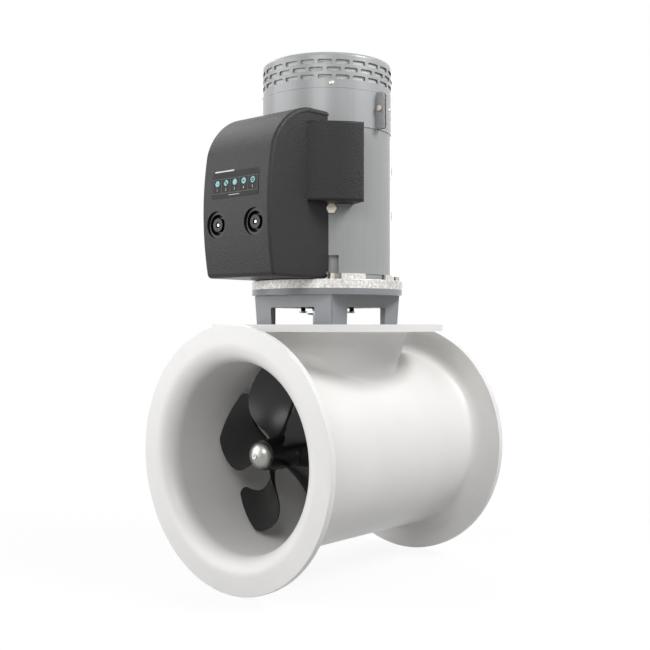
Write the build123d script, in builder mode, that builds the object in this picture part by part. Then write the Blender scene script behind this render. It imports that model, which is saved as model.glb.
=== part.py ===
from build123d import *
import os
from math import acos, atan, atan2, cos, degrees, pi, radians, sin, sqrt, tan

os.makedirs("parts", exist_ok=True)

# Underwater tunnel thruster, in millimetres. The origin is where the motor's vertical axis crosses the axis
# of the tunnel. X runs along the tunnel with the front mouth at -X, and Z points up to the motor.

# Clearances
running_gap = 0.05
seat_gap = 0.1
free_gap = 0.5

# Tunnel moulding
bore_r = 150.0
tunnel_wall = 8.7
tunnel_length = 452.8
rim_r = 207.8
rim_thickness = 10.9
mouth_r = 28.5
rim_back_r = 20.0
rim_edge_r = 1.2
deck_z = 208.0
deck_r = 197.0
deck_thickness = 11.4
neck_r = 137.0
neck_draft = 17.5
neck_foot_z = 100.0
neck_deck_fillet = 8.0
neck_tunnel_fillet = 14.0

# Leg fastening on the deck
spigot_r = 44.0
saddle_r = 62.0
saddle_thickness = 8.0
gasket_thickness = 2.0
clamp_plate_r = 61.5
clamp_plate_thickness = 11.0
clamp_screw_circle_r = 34.5
clamp_screw_count = 6
clamp_screw_r = 3.0
clamp_screw_head_r = 5.0
clamp_screw_head_height = 5.5
clamp_screw_length = 18.0

# Gear leg
barrel_half_length = 52.0
barrel_r = 37.5
barrel_end_r = 35.5
chamber_r = 30.8
strut_half_chord = 46.0
strut_half_width = 29.0
strut_fillet = 6.0
leg_bearing_bore_r = 12.5
leg_bearing_r = 23.5
leg_bearing_width = 12.0
lower_bearing_z = 44.0
upper_bearing_z = 182.0
shaft_passage_r = 14.5
cap_length = 40.0
cap_nose_r = 25.5
cap_spigot_length = 14.0
cap_screw_r = 3.0
cap_screw_head_r = 4.6
cap_screw_head_height = 2.2
cap_screw_length = 8.5
cap_screw_seat_r = 35.0
cap_screw_count = 3
prop_bearing_r = 21.0
prop_bearing_width = 12.0
prop_seal_r = 17.0
prop_seal_width = 8.0
cap_nose_wall = 4.0
leg_seal_r = 20.0
leg_seal_width = 7.0

# Bevel gears, one pinion between two wheels
module = 2.0
pinion_teeth = 13
wheel_teeth = 27
pressure_angle = 20.0
pinion_addendum = 1.354
wheel_addendum = 0.646
whole_depth = 2.188
backlash = 0.2
face_width = 8.0
wheel_rim_thickness = 4.0
wheel_hub_r = 16.0
wheel_hub_length = 26.0

# Shafts
prop_shaft_r = 10.0
prop_shaft_start = 9.0
pinion_back_r = 17.0
pinion_back_z = 30.0
coupling_seat_r = 11.0

# Propellers
blade_count = 5
prop_r = 145.0
prop_pitch = 272.0
blade_rake = 0.17
blade_x = 118.7
blade_root_thickness = 9.0
blade_tip_thickness = 3.2
blade_edge_thickness = 1.6
blade_front_corner_r = 20.0
blade_back_corner_r = 8.0
first_blade_angle = 9.0
hub_front_x = 155.0
hub_back_x = 94.0
hub_front_r = 23.5
hub_back_r = 26.0
drive_pin_r = 3.0
drive_pin_x = 101.0
anode_r = 22.3
anode_height = 18.5
anode_rim = 3.0
anode_screw_r = 3.0
anode_screw_head_r = 4.5
anode_screw_head_height = 3.5
anode_screw_length = 36.0

# Coupling between motor and leg
coupling_r = 48.0
coupling_disc_z = 227.5
coupling_disc_thickness = 2.8
coupling_step_r = 34.2
coupling_step_height = 3.0
coupling_hub_r = 25.3
coupling_hub_z = 209.5
coupling_pin_count = 4
coupling_pin_circle_r = 42.3
coupling_pin_angle = 30.0
coupling_pin_r = 2.2
bush_r = 3.9
upper_disc_z = 240.0
upper_disc_thickness = 7.0
upper_hub_r = 27.0
upper_hub_top_z = 262.0
pin_nut_r = 4.6
pin_nut_height = 3.5

# Motor bracket
bracket_foot_half = 85.9
bracket_head_half = 88.3
bracket_flange_z = 256.0
bracket_flange_r = 128.4
bracket_flange_thickness = 10.0
bracket_wall = 10.0
bracket_roof_z = 250.0
bracket_corner_r = 3.0
bracket_inner_corner_r = 20.0
bracket_bore_r = 58.0
window_top_z = 236.5
window_corner_r = 3.0
front_window_half = 49.5
rear_window_half = 58.0
bracket_bolt_offset = 75.5
bracket_bolt_r = 4.0
bracket_bolt_head_r = 6.5
bracket_bolt_head_height = 8.0
bracket_bolt_depth = 28.0

# Drive end plate
plate_r = 128.4
plate_thickness = 14.5
plate_edge_r = 1.0
pad_r = 112.0
pad_height = 9.5
pad_turns = ((-33.7, -3.7), (8.2, 30.2))
seat_ring_r = 107.3
slot_span = 2.4
slot_turns = (-1.5, 55.2)
spigot_ring_height = 33.0
plate_bolt_circle_r = 119.0
plate_bolt_r = 4.0
plate_bolt_head_r = 4.9
plate_bolt_head_height = 9.0
plate_bolt_length = 24.0
motor_bearing_bore_r = 15.0
motor_bearing_r = 31.0
motor_bearing_width = 16.0
plate_boss_r = 40.0
lower_motor_bearing_z = 283.0

# Motor body
motor_r = 108.8
motor_wall = 10.0
yoke_top_z = 586.0
notch_angle = 226.4
notch_span = 9.4
notch_height = 29.0
pole_low_z = 350.0
pole_high_z = 500.0
armature_r = 70.0
air_gap = 1.2
diagonal_angles = (45, 135, 225, 315)
pole_shoe_thickness = 6.0
pole_half_width = 25.0
pole_shoe_half_angle = 34.0
coil_thickness = 11.0
coil_half_width = 36.0
coil_end = 10.0
pole_screw_heights = (394.0, 470.0)
pole_screw_head_r = 8.6
pole_screw_head_height = 3.6
pole_screw_recess_r = 10.6
pole_screw_recess_depth = 2.5
pole_screw_r = 5.0
pole_screw_depth = 16.0
brush_window_low_z = 534.0
brush_window_high_z = 574.0
brush_window_half_angle = 14.0

# Armature
slot_count = 24
slot_width = 5.0
slot_depth = 17.0
end_winding_inner_r = 34.0
end_winding_outer_r = 64.0
end_winding_length = 26.0
commutator_r = 45.0
commutator_low_z = 528.0
commutator_high_z = 572.0
commutator_riser_r = 50.0
commutator_riser_height = 4.0
commutator_slit = 1.0
commutator_slit_depth = 3.0
fan_r = 92.0
fan_hub_r = 20.0
fan_low_z = 606.0
fan_high_z = 630.0
fan_blade_count = 9
fan_blade_thickness = 2.5
fan_disc_thickness = 3.0
fan_seat_r = 11.0
shaft_middle_r = 20.0
shaft_end_r = 14.0

# Brush gear
brush_ring_z = 568.0
brush_ring_thickness = 6.0
brush_ring_inner_r = 52.0
brush_ring_outer_r = 97.0
brush_width = 12.0
brush_height = 22.0
brush_length = 27.0
brush_lift = 0.3
holder_wall = 3.0
holder_outer_r = 88.0
spring_r = 5.0
spring_eye_r = 2.2

# Upper end shield, brush band and vent cover
shield_rim_r = 107.3
shield_z = 586.0
shield_rim_height = 14.0
shield_thickness = 6.0
shield_boss_r = 40.0
shield_boss_top_z = 600.0
upper_motor_bearing_z = 583.0
shield_port_half_angle = 30.0
shield_port_inner_r = 50.0
shield_port_outer_r = 90.0
band_z = 527.0
band_height = 59.6
band_thickness = 1.3
band_ear_angle = 270.0
band_ear_r = 126.0
band_ear_gap = 4.0
band_ear_thickness = 2.0
band_bolt_r = 3.0
band_bolt_head_r = 5.0
band_bolt_head_height = 3.6
band_bolt_z = 559.5
band_screw_angle = 292.0
band_screw_z = 565.6
band_screw_head_r = 3.4
vent_r = 109.8
vent_wall = 2.0
vent_bottom_z = 587.0
vent_top_z = 645.0
vent_edge_r = 6.0
vent_slot_count = 24
vent_slot_angle = 12.0
vent_slot_height = 7.0
vent_slot_pitch = 12.2
vent_slot_top_z = 632.4
vent_slot_phase = 219.5
vent_screw_z = 594.5
vent_screw_head_r = 4.0
vent_screw_head_height = 1.8
vent_screw_r = 2.0
vent_screw_length = 7.0
vent_slot_corner_r = 2.5
screen_r = 106.6
screen_thickness = 0.8
screen_height = 38.0

# Control cover
cover_half_width = 75.0
cover_bottom_z = 281.5
cover_shoulder_z = 479.0
cover_top_z = 548.0
cover_panel_x = 206.5
cover_panel_bulge = 10.0
cover_brow_r = 102.0
cover_brow_centre_x = 111.4
cover_brow_centre_z = 447.0
cover_brow_middle_angle = 54.0
cover_back_x = 43.0
cover_wall = 3.0
cover_soft_r = 60.0
cover_foot_r = 8.0
cover_side_r = 5.0
cover_bead_width = 7.0
cover_bead_depth = 1.2
pod_r = 151.0
pod_start_angle = 206.0
pod_end_angle = 244.5
pod_low_z = 401.0
pod_high_z = 526.0
pod_corner_r = 4.5
gland_spacing = 84.0
gland_z = 364.5
gland_r = 21.0
gland_front_x = 213.0
gland_flange_thickness = 2.5
gland_groove_r = 16.5
gland_boss_r = 10.5
gland_hole_r = 4.6
gland_depth = 12.0
gland_groove_depth = 8.0
gland_lip_r = 24.0
terminal_r = 4.0
terminal_tip_x = 212.0
terminal_tip_r = 2.4
terminal_nut_r = 7.0
terminal_nut_height = 5.0
pole_screw_relief_r = 9.6

# Inside the control cover
back_plate_x = 116.0
back_plate_thickness = 2.5
back_plate_half_width = 66.0
back_plate_low_z = 296.0
back_plate_high_z = 532.0
saddle_block_half_width = 24.0
saddle_block_height = 22.0
saddle_block_heights = (330.0, 480.0)
contactor_width = 50.0
contactor_depth = 46.0
contactor_height = 66.0
contactor_low_z = 404.0
contactor_offset = 31.0
contactor_edge_r = 4.0
contactor_post_r = 4.0
contactor_post_height = 14.0
bus_bar_width = 18.0
bus_bar_thickness = 3.0
bus_bar_low_z = 350.0
bus_bar_high_z = 446.0
board_width = 96.0
board_height = 46.0
board_thickness = 1.6
board_low_z = 478.0
board_gap = 6.0
board_chip = 16.0
fuse_angle = 228.0
fuse_r = 133.0
fuse_length = 80.0
fuse_block = 18.0
fuse_low_z = 420.0

# Worked out from the values above
half_length = tunnel_length / 2
tube_r = bore_r + tunnel_wall
deck_underside_z = deck_z - deck_thickness
gasket_outer_r = bore_r - seat_gap / 2
saddle_outer_r = gasket_outer_r - gasket_thickness - seat_gap
clamp_plate_z = deck_underside_z
spigot_top_z = clamp_plate_z - 0.3
plate_z = bracket_flange_z + bracket_flange_thickness
plate_top_z = plate_z + plate_thickness
yoke_low_z = plate_top_z + pad_height
yoke_inner_r = motor_r - motor_wall
cap_nose_x = barrel_half_length + cap_length
prop_seal_x = cap_nose_x - cap_nose_wall - prop_seal_width
prop_bearing_x = barrel_half_length - 1 - prop_bearing_width


def write(piece, name):
    """Label a finished piece and write it to its own file."""
    piece.part.label = name
    export_step(piece.part, f"parts/{name}.step")


def ring_profile(inner, outer, low, high):
    """A rectangle in the plane of a revolve: radii along local x, heights along local y."""
    with Locations(((inner + outer) / 2, (low + high) / 2)):
        Rectangle(outer - inner, high - low)


def at_angle(radius, angle, height=0.0):
    """A point on a circle about the motor's axis."""
    return (radius * cos(radians(angle)), radius * sin(radians(angle)), height)


def radial_plane(radius, angle, height):
    """A plane on the motor's side that faces outward, with local x along the circle and local y up."""
    a = radians(angle)
    return Plane(origin=at_angle(radius, angle, height), x_dir=(-sin(a), cos(a), 0), z_dir=(cos(a), sin(a), 0))


def cap_screw_place(side, turn, radius):
    """Where one of a nose cap's radial screws stands, with its shank towards the barrel's axis."""
    middle = Location((side * (barrel_half_length - cap_spigot_length / 2), 0, 0))
    turned = Location((0, 0, 0), (360 / cap_screw_count * turn, 0, 0))
    return middle * turned * Location((0, 0, -radius), (180, 0, 0))


# The tunnel is one white moulding: a tube with two bell mouths and flat end rings, and on top a drafted round
# neck that ends in the deck flange. The leg hangs in its stem bore.
with BuildPart() as tunnel:
    with BuildSketch(Plane.XZ) as outer_section:
        with BuildLine():
            Polyline(
                (-half_length, 0),
                (-half_length, rim_r),
                (-half_length + rim_thickness, rim_r),
                (-half_length + rim_thickness, tube_r),
                (half_length - rim_thickness, tube_r),
                (half_length - rim_thickness, rim_r),
                (half_length, rim_r),
                (half_length, 0),
                close=True,
            )
        make_face()
        levels = outer_section.vertices().group_by(Axis.Y)
        fillet(levels[1], rim_back_r)
        fillet(outer_section.vertices().group_by(Axis.Y)[-1], rim_edge_r)
    revolve(axis=Axis.X)
    with BuildSketch(Plane.XY.offset(deck_z)):
        Circle(deck_r)
    extrude(amount=-deck_thickness)
    with BuildSketch(Plane.XY.offset(deck_underside_z)):
        Circle(neck_r)
    extrude(amount=neck_foot_z - deck_underside_z, taper=neck_draft)
    fillet(tunnel.edges().filter_by(GeomType.BSPLINE), neck_tunnel_fillet)
    deck_edges = tunnel.edges().filter_by(GeomType.CIRCLE).filter_by_position(
        Axis.Z, deck_underside_z - 0.01, deck_underside_z + 0.01
    )
    fillet(deck_edges.sort_by(SortBy.RADIUS)[0], neck_deck_fillet)
    with BuildSketch(Plane.XZ) as bore_section:
        with BuildLine():
            left_mouth = CenterArc((-half_length + mouth_r, bore_r + mouth_r), mouth_r, 180, 90)
            right_mouth = CenterArc((half_length - mouth_r, bore_r + mouth_r), mouth_r, 270, 90)
            Line(left_mouth @ 1, right_mouth @ 0)
            Polyline(right_mouth @ 1, (half_length, 0), (-half_length, 0), left_mouth @ 0)
        make_face()
    revolve(axis=Axis.X, mode=Mode.SUBTRACT)
    with Locations((0, 0, deck_z)):
        CounterBoreHole(
            radius=spigot_r + free_gap,
            counter_bore_radius=clamp_plate_r + free_gap,
            counter_bore_depth=deck_thickness,
            depth=deck_z - neck_foot_z,
        )
        with GridLocations(2 * bracket_bolt_offset, 2 * bracket_bolt_offset, 2, 2):
            Hole(radius=bracket_bolt_r + seat_gap, depth=bracket_bolt_depth)
write(tunnel, "tunnel")

# The leg is a casting: a saddle flange that seats under the tunnel's roof, a spigot that rises through the
# neck, a streamlined strut and a barrel that holds the bevel gears.
with BuildPart() as gear_leg:
    with BuildSketch(Plane.XY.offset(neck_foot_z)):
        Circle(saddle_r)
    extrude(amount=bore_r - neck_foot_z)
    Cylinder(saddle_outer_r, 4 * saddle_r, rotation=(0, 90, 0), mode=Mode.INTERSECT)
    Cylinder(saddle_outer_r - saddle_thickness, 4 * saddle_r, rotation=(0, 90, 0), mode=Mode.SUBTRACT)
    with BuildSketch(Plane.XY):
        Ellipse(strut_half_chord, strut_half_width)
    extrude(amount=saddle_outer_r - saddle_thickness)
    with BuildSketch(Plane.XZ):
        with BuildLine():
            crown = ThreePointArc(
                (-barrel_half_length, barrel_end_r), (0, barrel_r), (barrel_half_length, barrel_end_r)
            )
            Polyline(crown @ 1, (barrel_half_length, 0), (-barrel_half_length, 0), crown @ 0)
        make_face()
    revolve(axis=Axis.X)
    strut_foot = gear_leg.edges().filter_by(GeomType.BSPLINE).filter_by_position(Axis.Z, 0, barrel_r)
    fillet(strut_foot, strut_fillet)
    with BuildSketch(Plane.XY.offset(saddle_outer_r - saddle_thickness)):
        Circle(spigot_r)
    extrude(amount=spigot_top_z - saddle_outer_r + saddle_thickness)
    Cylinder(chamber_r, 2 * barrel_half_length, rotation=(0, 90, 0), mode=Mode.SUBTRACT)
    with BuildSketch(Plane.XZ):
        ring_profile(0, shaft_passage_r, 0, spigot_top_z)
        ring_profile(0, leg_bearing_r + seat_gap, 0, lower_bearing_z + leg_bearing_width)
        ring_profile(0, leg_bearing_r + seat_gap, upper_bearing_z, spigot_top_z)
    revolve(axis=Axis.Z, mode=Mode.SUBTRACT)
    with Locations((0, 0, spigot_top_z)):
        with PolarLocations(clamp_screw_circle_r, clamp_screw_count):
            Hole(radius=clamp_screw_r + seat_gap, depth=clamp_screw_length)
    with Locations(
        *[
            cap_screw_place(side, k, barrel_r)
            for side in (-1, 1)
            for k in range(cap_screw_count)
        ]
    ):
        CounterBoreHole(
            radius=cap_screw_r + seat_gap,
            counter_bore_radius=cap_screw_head_r + 0.3,
            counter_bore_depth=barrel_r - cap_screw_seat_r,
            depth=barrel_r - chamber_r + 2,
        )
write(gear_leg, "gear_leg")


def socket_screw(shank_r, shank_length, head_r, head_height):
    """A cap screw along Z, with the underside of its head on the XY plane and its shank below."""
    with BuildPart() as screw:
        with BuildSketch(Plane.XY):
            Circle(head_r)
        extrude(amount=head_height)
        with BuildSketch(Plane.XY):
            Circle(shank_r)
        extrude(amount=-shank_length)
        with BuildSketch(Plane.XY.offset(head_height)):
            RegularPolygon(0.55 * head_r, 6)
        extrude(amount=-0.6 * head_height, mode=Mode.SUBTRACT)
    return screw.part


def hex_bolt(shank_r, shank_length, head_r, head_height):
    """A hexagon bolt along Z, with the underside of its head on the XY plane and its shank below."""
    with BuildPart() as bolt:
        with BuildSketch(Plane.XY):
            RegularPolygon(head_r, 6)
        extrude(amount=head_height)
        with BuildSketch(Plane.XY):
            Circle(shank_r)
        extrude(amount=-shank_length)
    return bolt.part


def pan_screw(shank_r, shank_length, head_r, head_height):
    """A domed screw along Z, with the underside of its head on the XY plane and its shank below."""
    dome_r = (head_r**2 + head_height**2) / (2 * head_height)
    dome_half_angle = degrees(atan2(head_r, dome_r - head_height))
    with BuildPart() as screw:
        with BuildSketch(Plane.XZ):
            with BuildLine():
                dome = CenterArc((0, head_height - dome_r), dome_r, 90 - dome_half_angle, dome_half_angle)
                Polyline(dome @ 1, (0, -shank_length), (shank_r, -shank_length), (shank_r, 0), dome @ 0)
            make_face()
        revolve(axis=Axis.Z)
    return screw.part


def bearing(bore, outer, width):
    """A shielded ball bearing about Z that stands on the XY plane."""
    shield_width = 0.45 * (outer - bore)
    middle = (bore + outer) / 2
    with BuildPart() as ring:
        with BuildSketch(Plane.XZ):
            ring_profile(bore, outer, 0, width)
            with Locations((middle, 0), (middle, width)):
                Rectangle(shield_width, 0.12 * width, mode=Mode.SUBTRACT)
        revolve(axis=Axis.Z)
    return ring.part


def lip_seal(bore, outer, width):
    """A rubber lip seal about Z that stands on the XY plane, with its open side up."""
    middle = (bore + outer) / 2
    with BuildPart() as ring:
        with BuildSketch(Plane.XZ):
            ring_profile(bore, outer, 0, width)
            with Locations((middle, width)):
                Rectangle(0.4 * (outer - bore), width, mode=Mode.SUBTRACT)
        revolve(axis=Axis.Z)
    return ring.part


# The gasket lies between the saddle flange and the tunnel's roof.
with BuildPart() as leg_gasket:
    with BuildSketch(Plane.XY.offset(neck_foot_z)):
        Circle(saddle_r)
        Circle(spigot_r + free_gap, mode=Mode.SUBTRACT)
    extrude(amount=bore_r - neck_foot_z)
    Cylinder(gasket_outer_r, 4 * saddle_r, rotation=(0, 90, 0), mode=Mode.INTERSECT)
    Cylinder(gasket_outer_r - gasket_thickness, 4 * saddle_r, rotation=(0, 90, 0), mode=Mode.SUBTRACT)
write(leg_gasket, "leg_gasket")

# The clamp plate lies flush in the deck and pulls the spigot up with six cap screws. It holds the shaft seal.
clamp_plate_top_z = clamp_plate_z + clamp_plate_thickness
clamp_screw_seat_z = clamp_plate_top_z - clamp_screw_head_height - 0.3
leg_seal_z = clamp_plate_top_z - leg_seal_width
with BuildPart() as leg_clamp_plate:
    with BuildSketch(Plane.XY.offset(clamp_plate_z)):
        Circle(clamp_plate_r)
    extrude(amount=clamp_plate_thickness)
    with Locations((0, 0, clamp_plate_top_z)):
        CounterBoreHole(
            radius=shaft_passage_r,
            counter_bore_radius=leg_seal_r + seat_gap,
            counter_bore_depth=leg_seal_width,
        )
        with PolarLocations(clamp_screw_circle_r, clamp_screw_count):
            CounterBoreHole(
                radius=clamp_screw_r + seat_gap,
                counter_bore_radius=clamp_screw_head_r + 0.3,
                counter_bore_depth=clamp_plate_top_z - clamp_screw_seat_z,
            )
write(leg_clamp_plate, "leg_clamp_plate")

clamp_screw = socket_screw(clamp_screw_r, clamp_screw_length, clamp_screw_head_r, clamp_screw_head_height)
with BuildPart() as clamp_plate_screws:
    with Locations((0, 0, clamp_screw_seat_z)):
        with PolarLocations(clamp_screw_circle_r, clamp_screw_count):
            add(clamp_screw)
write(clamp_plate_screws, "clamp_plate_screws")

seal = lip_seal(coupling_seat_r + running_gap, leg_seal_r, leg_seal_width - 0.2)
with BuildPart() as leg_shaft_seal:
    with Locations((0, 0, leg_seal_z)):
        add(seal)
write(leg_shaft_seal, "leg_shaft_seal")

vertical_bearing = bearing(leg_bearing_bore_r + running_gap, leg_bearing_r, leg_bearing_width)
with BuildPart() as leg_bearings:
    with Locations((0, 0, lower_bearing_z), (0, 0, upper_bearing_z)):
        add(vertical_bearing)
write(leg_bearings, "leg_bearings")

# A plane in which local x is the distance from the tunnel's axis and local y runs out to the front mouth.
front_side = Plane(origin=(0, 0, 0), x_dir=(0, 0, 1), z_dir=(0, -1, 0))
facing_front = (0, -90, 0)
facing_rear = (0, 90, 0)

# Each end of the barrel is closed by a nose cap that holds a ball bearing and a shaft seal.
with BuildPart() as leg_caps:
    with BuildSketch(front_side):
        with BuildLine():
            nose = ThreePointArc(
                (barrel_end_r, barrel_half_length),
                ((barrel_end_r + cap_nose_r) / 2 + 1.5, barrel_half_length + cap_length / 2),
                (cap_nose_r, cap_nose_x),
            )
            Polyline(
                nose @ 1,
                (prop_shaft_r + free_gap, cap_nose_x),
                (prop_shaft_r + free_gap, barrel_half_length - cap_spigot_length),
                (chamber_r - seat_gap, barrel_half_length - cap_spigot_length),
                (chamber_r - seat_gap, barrel_half_length),
                nose @ 0,
            )
        make_face()
        with Locations(((prop_shaft_r + free_gap) / 2, barrel_half_length + cap_length / 2)):
            Rectangle(prop_shaft_r + free_gap, 2 * cap_length, mode=Mode.SUBTRACT)
    revolve(axis=Axis.X)
    with BuildSketch(front_side):
        ring_profile(0, prop_bearing_r + seat_gap, 0, prop_bearing_x + prop_bearing_width + seat_gap)
        ring_profile(0, prop_shaft_r + 3, 0, prop_seal_x)
        ring_profile(0, prop_seal_r + seat_gap, prop_seal_x, prop_seal_x + prop_seal_width + seat_gap)
    revolve(axis=Axis.X, mode=Mode.SUBTRACT)
    with Locations(*[cap_screw_place(-1, k, chamber_r) for k in range(cap_screw_count)]):
        Hole(radius=cap_screw_r + seat_gap, depth=cap_screw_length - 3)
    mirror(about=Plane.YZ)
write(leg_caps, "leg_caps")

cap_screw = pan_screw(cap_screw_r, cap_screw_length, cap_screw_head_r, cap_screw_head_height)
with BuildPart() as cap_screws:
    for side in (-1, 1):
        with Locations(*[cap_screw_place(side, k, cap_screw_seat_r) for k in range(cap_screw_count)]):
            add(cap_screw)
write(cap_screws, "cap_screws")

prop_bearing = bearing(prop_shaft_r + running_gap, prop_bearing_r, prop_bearing_width)
with BuildPart() as prop_bearings:
    with Locations(Location((-prop_bearing_x, 0, 0), facing_front)):
        add(prop_bearing)
    mirror(about=Plane.YZ)
write(prop_bearings, "prop_bearings")

prop_seal = lip_seal(prop_shaft_r + running_gap, prop_seal_r, prop_seal_width)
with BuildPart() as prop_seals:
    with Locations(Location((-prop_seal_x, 0, 0), facing_front)):
        add(prop_seal)
    mirror(about=Plane.YZ)
write(prop_seals, "prop_seals")

# Straight bevel gears at a right angle, with their common apex at the origin. The pinion has the long teeth
# and the wheels the short ones, so that thirteen teeth run without undercut.
outer_cone = module * sqrt(pinion_teeth**2 + wheel_teeth**2) / 2
inner_share = (outer_cone - face_width) / outer_cone


def involute(angle):
    """The involute function of an angle in radians."""
    return tan(angle) - angle


def bevel_root(own_teeth, mate_teeth, addendum):
    """The outer root point of a bevel gear about Z, as its distance from the axis and its height."""
    cone = atan2(own_teeth, mate_teeth)
    depth = (whole_depth - addendum) * module
    return (outer_cone * sin(cone) - depth * cos(cone), outer_cone * cos(cone) + depth * sin(cone))


def bevel_tooth(own_teeth, mate_teeth, own_addendum, mate_addendum):
    """One tooth at +X of a bevel gear about Z, with involute flanks that taper to the apex."""
    cone = atan2(own_teeth, mate_teeth)
    pressure = radians(pressure_angle)
    back_r = outer_cone * tan(cone)
    base_r = back_r * cos(pressure)
    root_r = back_r - (whole_depth - own_addendum) * module
    tip_r = back_r + own_addendum * module
    pitch_half = module * (pi / 2 + (own_addendum - mate_addendum) * tan(pressure)) / 2 - backlash / 2

    def flank(radius, side, share):
        half_angle = pitch_half / back_r + involute(pressure) - involute(acos(min(1, base_r / radius)))
        return (side * radius * sin(half_angle) * share, (radius * cos(half_angle) - back_r) * share)

    start_r = max(root_r, base_r)
    middle_r = (start_r + tip_r) / 2
    with BuildPart() as tooth:
        for share in (1, inner_share):
            distance = outer_cone * share
            section = Plane(
                origin=(distance * sin(cone), 0, distance * cos(cone)),
                x_dir=(0, -1, 0),
                z_dir=(sin(cone), 0, cos(cone)),
            )
            foot = (root_r - back_r - 0.5) * share
            with BuildSketch(section):
                with BuildLine():
                    left = ThreePointArc(*[flank(radius, -1, share) for radius in (start_r, middle_r, tip_r)])
                    right = ThreePointArc(*[flank(radius, 1, share) for radius in (tip_r, middle_r, start_r)])
                    Line(left @ 1, right @ 0)
                    Polyline(right @ 1, ((right @ 1).X, foot), ((left @ 0).X, foot), left @ 0)
                make_face()
        loft(ruled=True)
    return tooth.part


wheel_root = bevel_root(wheel_teeth, pinion_teeth, wheel_addendum)
wheel_tooth = bevel_tooth(wheel_teeth, pinion_teeth, wheel_addendum, pinion_addendum)
with BuildPart() as bevel_wheel:
    with BuildSketch(Plane.XZ):
        with BuildLine():
            Polyline(
                (prop_shaft_r + seat_gap, wheel_root[1] * inner_share),
                (wheel_root[0] * inner_share, wheel_root[1] * inner_share),
                wheel_root,
                (wheel_root[0], wheel_root[1] + wheel_rim_thickness),
                (wheel_hub_r, wheel_root[1] + wheel_rim_thickness),
                (wheel_hub_r, wheel_hub_length),
                (prop_shaft_r + seat_gap, wheel_hub_length),
                close=True,
            )
        make_face()
    revolve(axis=Axis.Z)
    with PolarLocations(0, wheel_teeth):
        add(wheel_tooth)

# At rest the pinion has a gap towards the front and a tooth towards the rear, and the wheels answer them.
with BuildPart() as front_bevel_wheel:
    add(bevel_wheel.part, rotation=facing_front)
write(front_bevel_wheel, "front_bevel_wheel")

with BuildPart() as rear_bevel_wheel:
    add(bevel_wheel.part, rotation=facing_rear)
write(rear_bevel_wheel, "rear_bevel_wheel")

# The pinion is cut on the lower end of the vertical shaft.
pinion_root = bevel_root(pinion_teeth, wheel_teeth, pinion_addendum)
pinion_tooth = bevel_tooth(pinion_teeth, wheel_teeth, pinion_addendum, wheel_addendum)
pinion_shaft_top_z = coupling_disc_z - 0.5
with BuildPart() as pinion_shaft:
    with BuildSketch(Plane.XZ):
        with BuildLine():
            Polyline(
                (0, pinion_root[1] * inner_share),
                (pinion_root[0] * inner_share, pinion_root[1] * inner_share),
                pinion_root,
                (pinion_back_r, pinion_back_z),
                (pinion_back_r, lower_bearing_z),
                (leg_bearing_bore_r, lower_bearing_z),
                (leg_bearing_bore_r, leg_seal_z - 2),
                (coupling_seat_r, leg_seal_z - 2),
                (coupling_seat_r, pinion_shaft_top_z),
                (0, pinion_shaft_top_z),
                close=True,
            )
        make_face()
    revolve(axis=Axis.Z)
    with PolarLocations(0, pinion_teeth):
        add(pinion_tooth)
write(pinion_shaft, "pinion_shaft")

# The propeller shaft carries the bevel wheel inside and the propeller outside.
prop_shaft_end = hub_front_x - 1
with BuildPart() as front_prop_shaft:
    with BuildSketch(front_side):
        ring_profile(0, prop_shaft_r, prop_shaft_start, prop_shaft_end)
        ring_profile(0, prop_shaft_r + 2.5, wheel_hub_length + seat_gap, prop_bearing_x - seat_gap)
    revolve(axis=Axis.X)
    with Locations(Location((-prop_shaft_end, 0, 0), facing_front)):
        Hole(radius=anode_screw_r + seat_gap, depth=anode_screw_length - anode_height + 2)
    with Locations((-drive_pin_x, 0, 0)):
        Cylinder(drive_pin_r + seat_gap, 4 * prop_shaft_r, rotation=(90, 0, 0), mode=Mode.SUBTRACT)
write(front_prop_shaft, "front_prop_shaft")


def blade_skew(radius):
    """How far the blade's middle line has turned at a radius, in degrees."""
    share = max(0, (radius - hub_back_r) / (prop_r - hub_back_r))
    return first_blade_angle - 54.8 * share + 72.1 * share**2


def blade_edge(radius, side):
    """The angle of the leading or trailing edge at a radius, in degrees."""
    share = max(0, (radius - hub_back_r) / (prop_r - hub_back_r))
    half_chord = (11.4 + 172.9 * share - 72.6 * share**2) / 2
    pitch_angle = atan(prop_pitch / (2 * pi * radius))
    return blade_skew(radius) + side * degrees(half_chord * cos(pitch_angle) / radius)


def blade_edge_point(radius, side):
    """A point on a blade's edge, seen along the shaft."""
    turn = radians(blade_edge(radius, side))
    return (radius * cos(turn), radius * sin(turn))


def blade_surface(height, across):
    """The blade's middle surface, a raked helicoid, at a height up the blade and a distance across it."""
    radius = sqrt(height**2 + across**2)
    angle = first_blade_angle + degrees(atan2(across, height))
    turned = angle - blade_skew(radius)
    return blade_rake * (radius - hub_back_r) - blade_x + prop_pitch * turned / 360


def blade_section(height):
    """The two long edges of the blade's section at a height, each as points across the blade."""
    span = (-14 - 0.5 * height, 14 + 0.62 * height)
    share = height / prop_r
    thickness = blade_root_thickness + (blade_tip_thickness - blade_root_thickness) * share
    stations = (-1, -0.55, 0, 0.55, 1)
    faces = []
    for side in (-1, 1):
        points = []
        for station in stations:
            across = (span[0] + span[1]) / 2 + station * (span[1] - span[0]) / 2
            radius = sqrt(height**2 + across**2)
            slope = 1 / cos(atan(prop_pitch / (2 * pi * radius)))
            half = (blade_edge_thickness + (thickness - blade_edge_thickness) * (1 - station**2)) / 2
            points.append((across, blade_surface(height, across) + side * half * slope))
        faces.append(points)
    return faces


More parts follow.
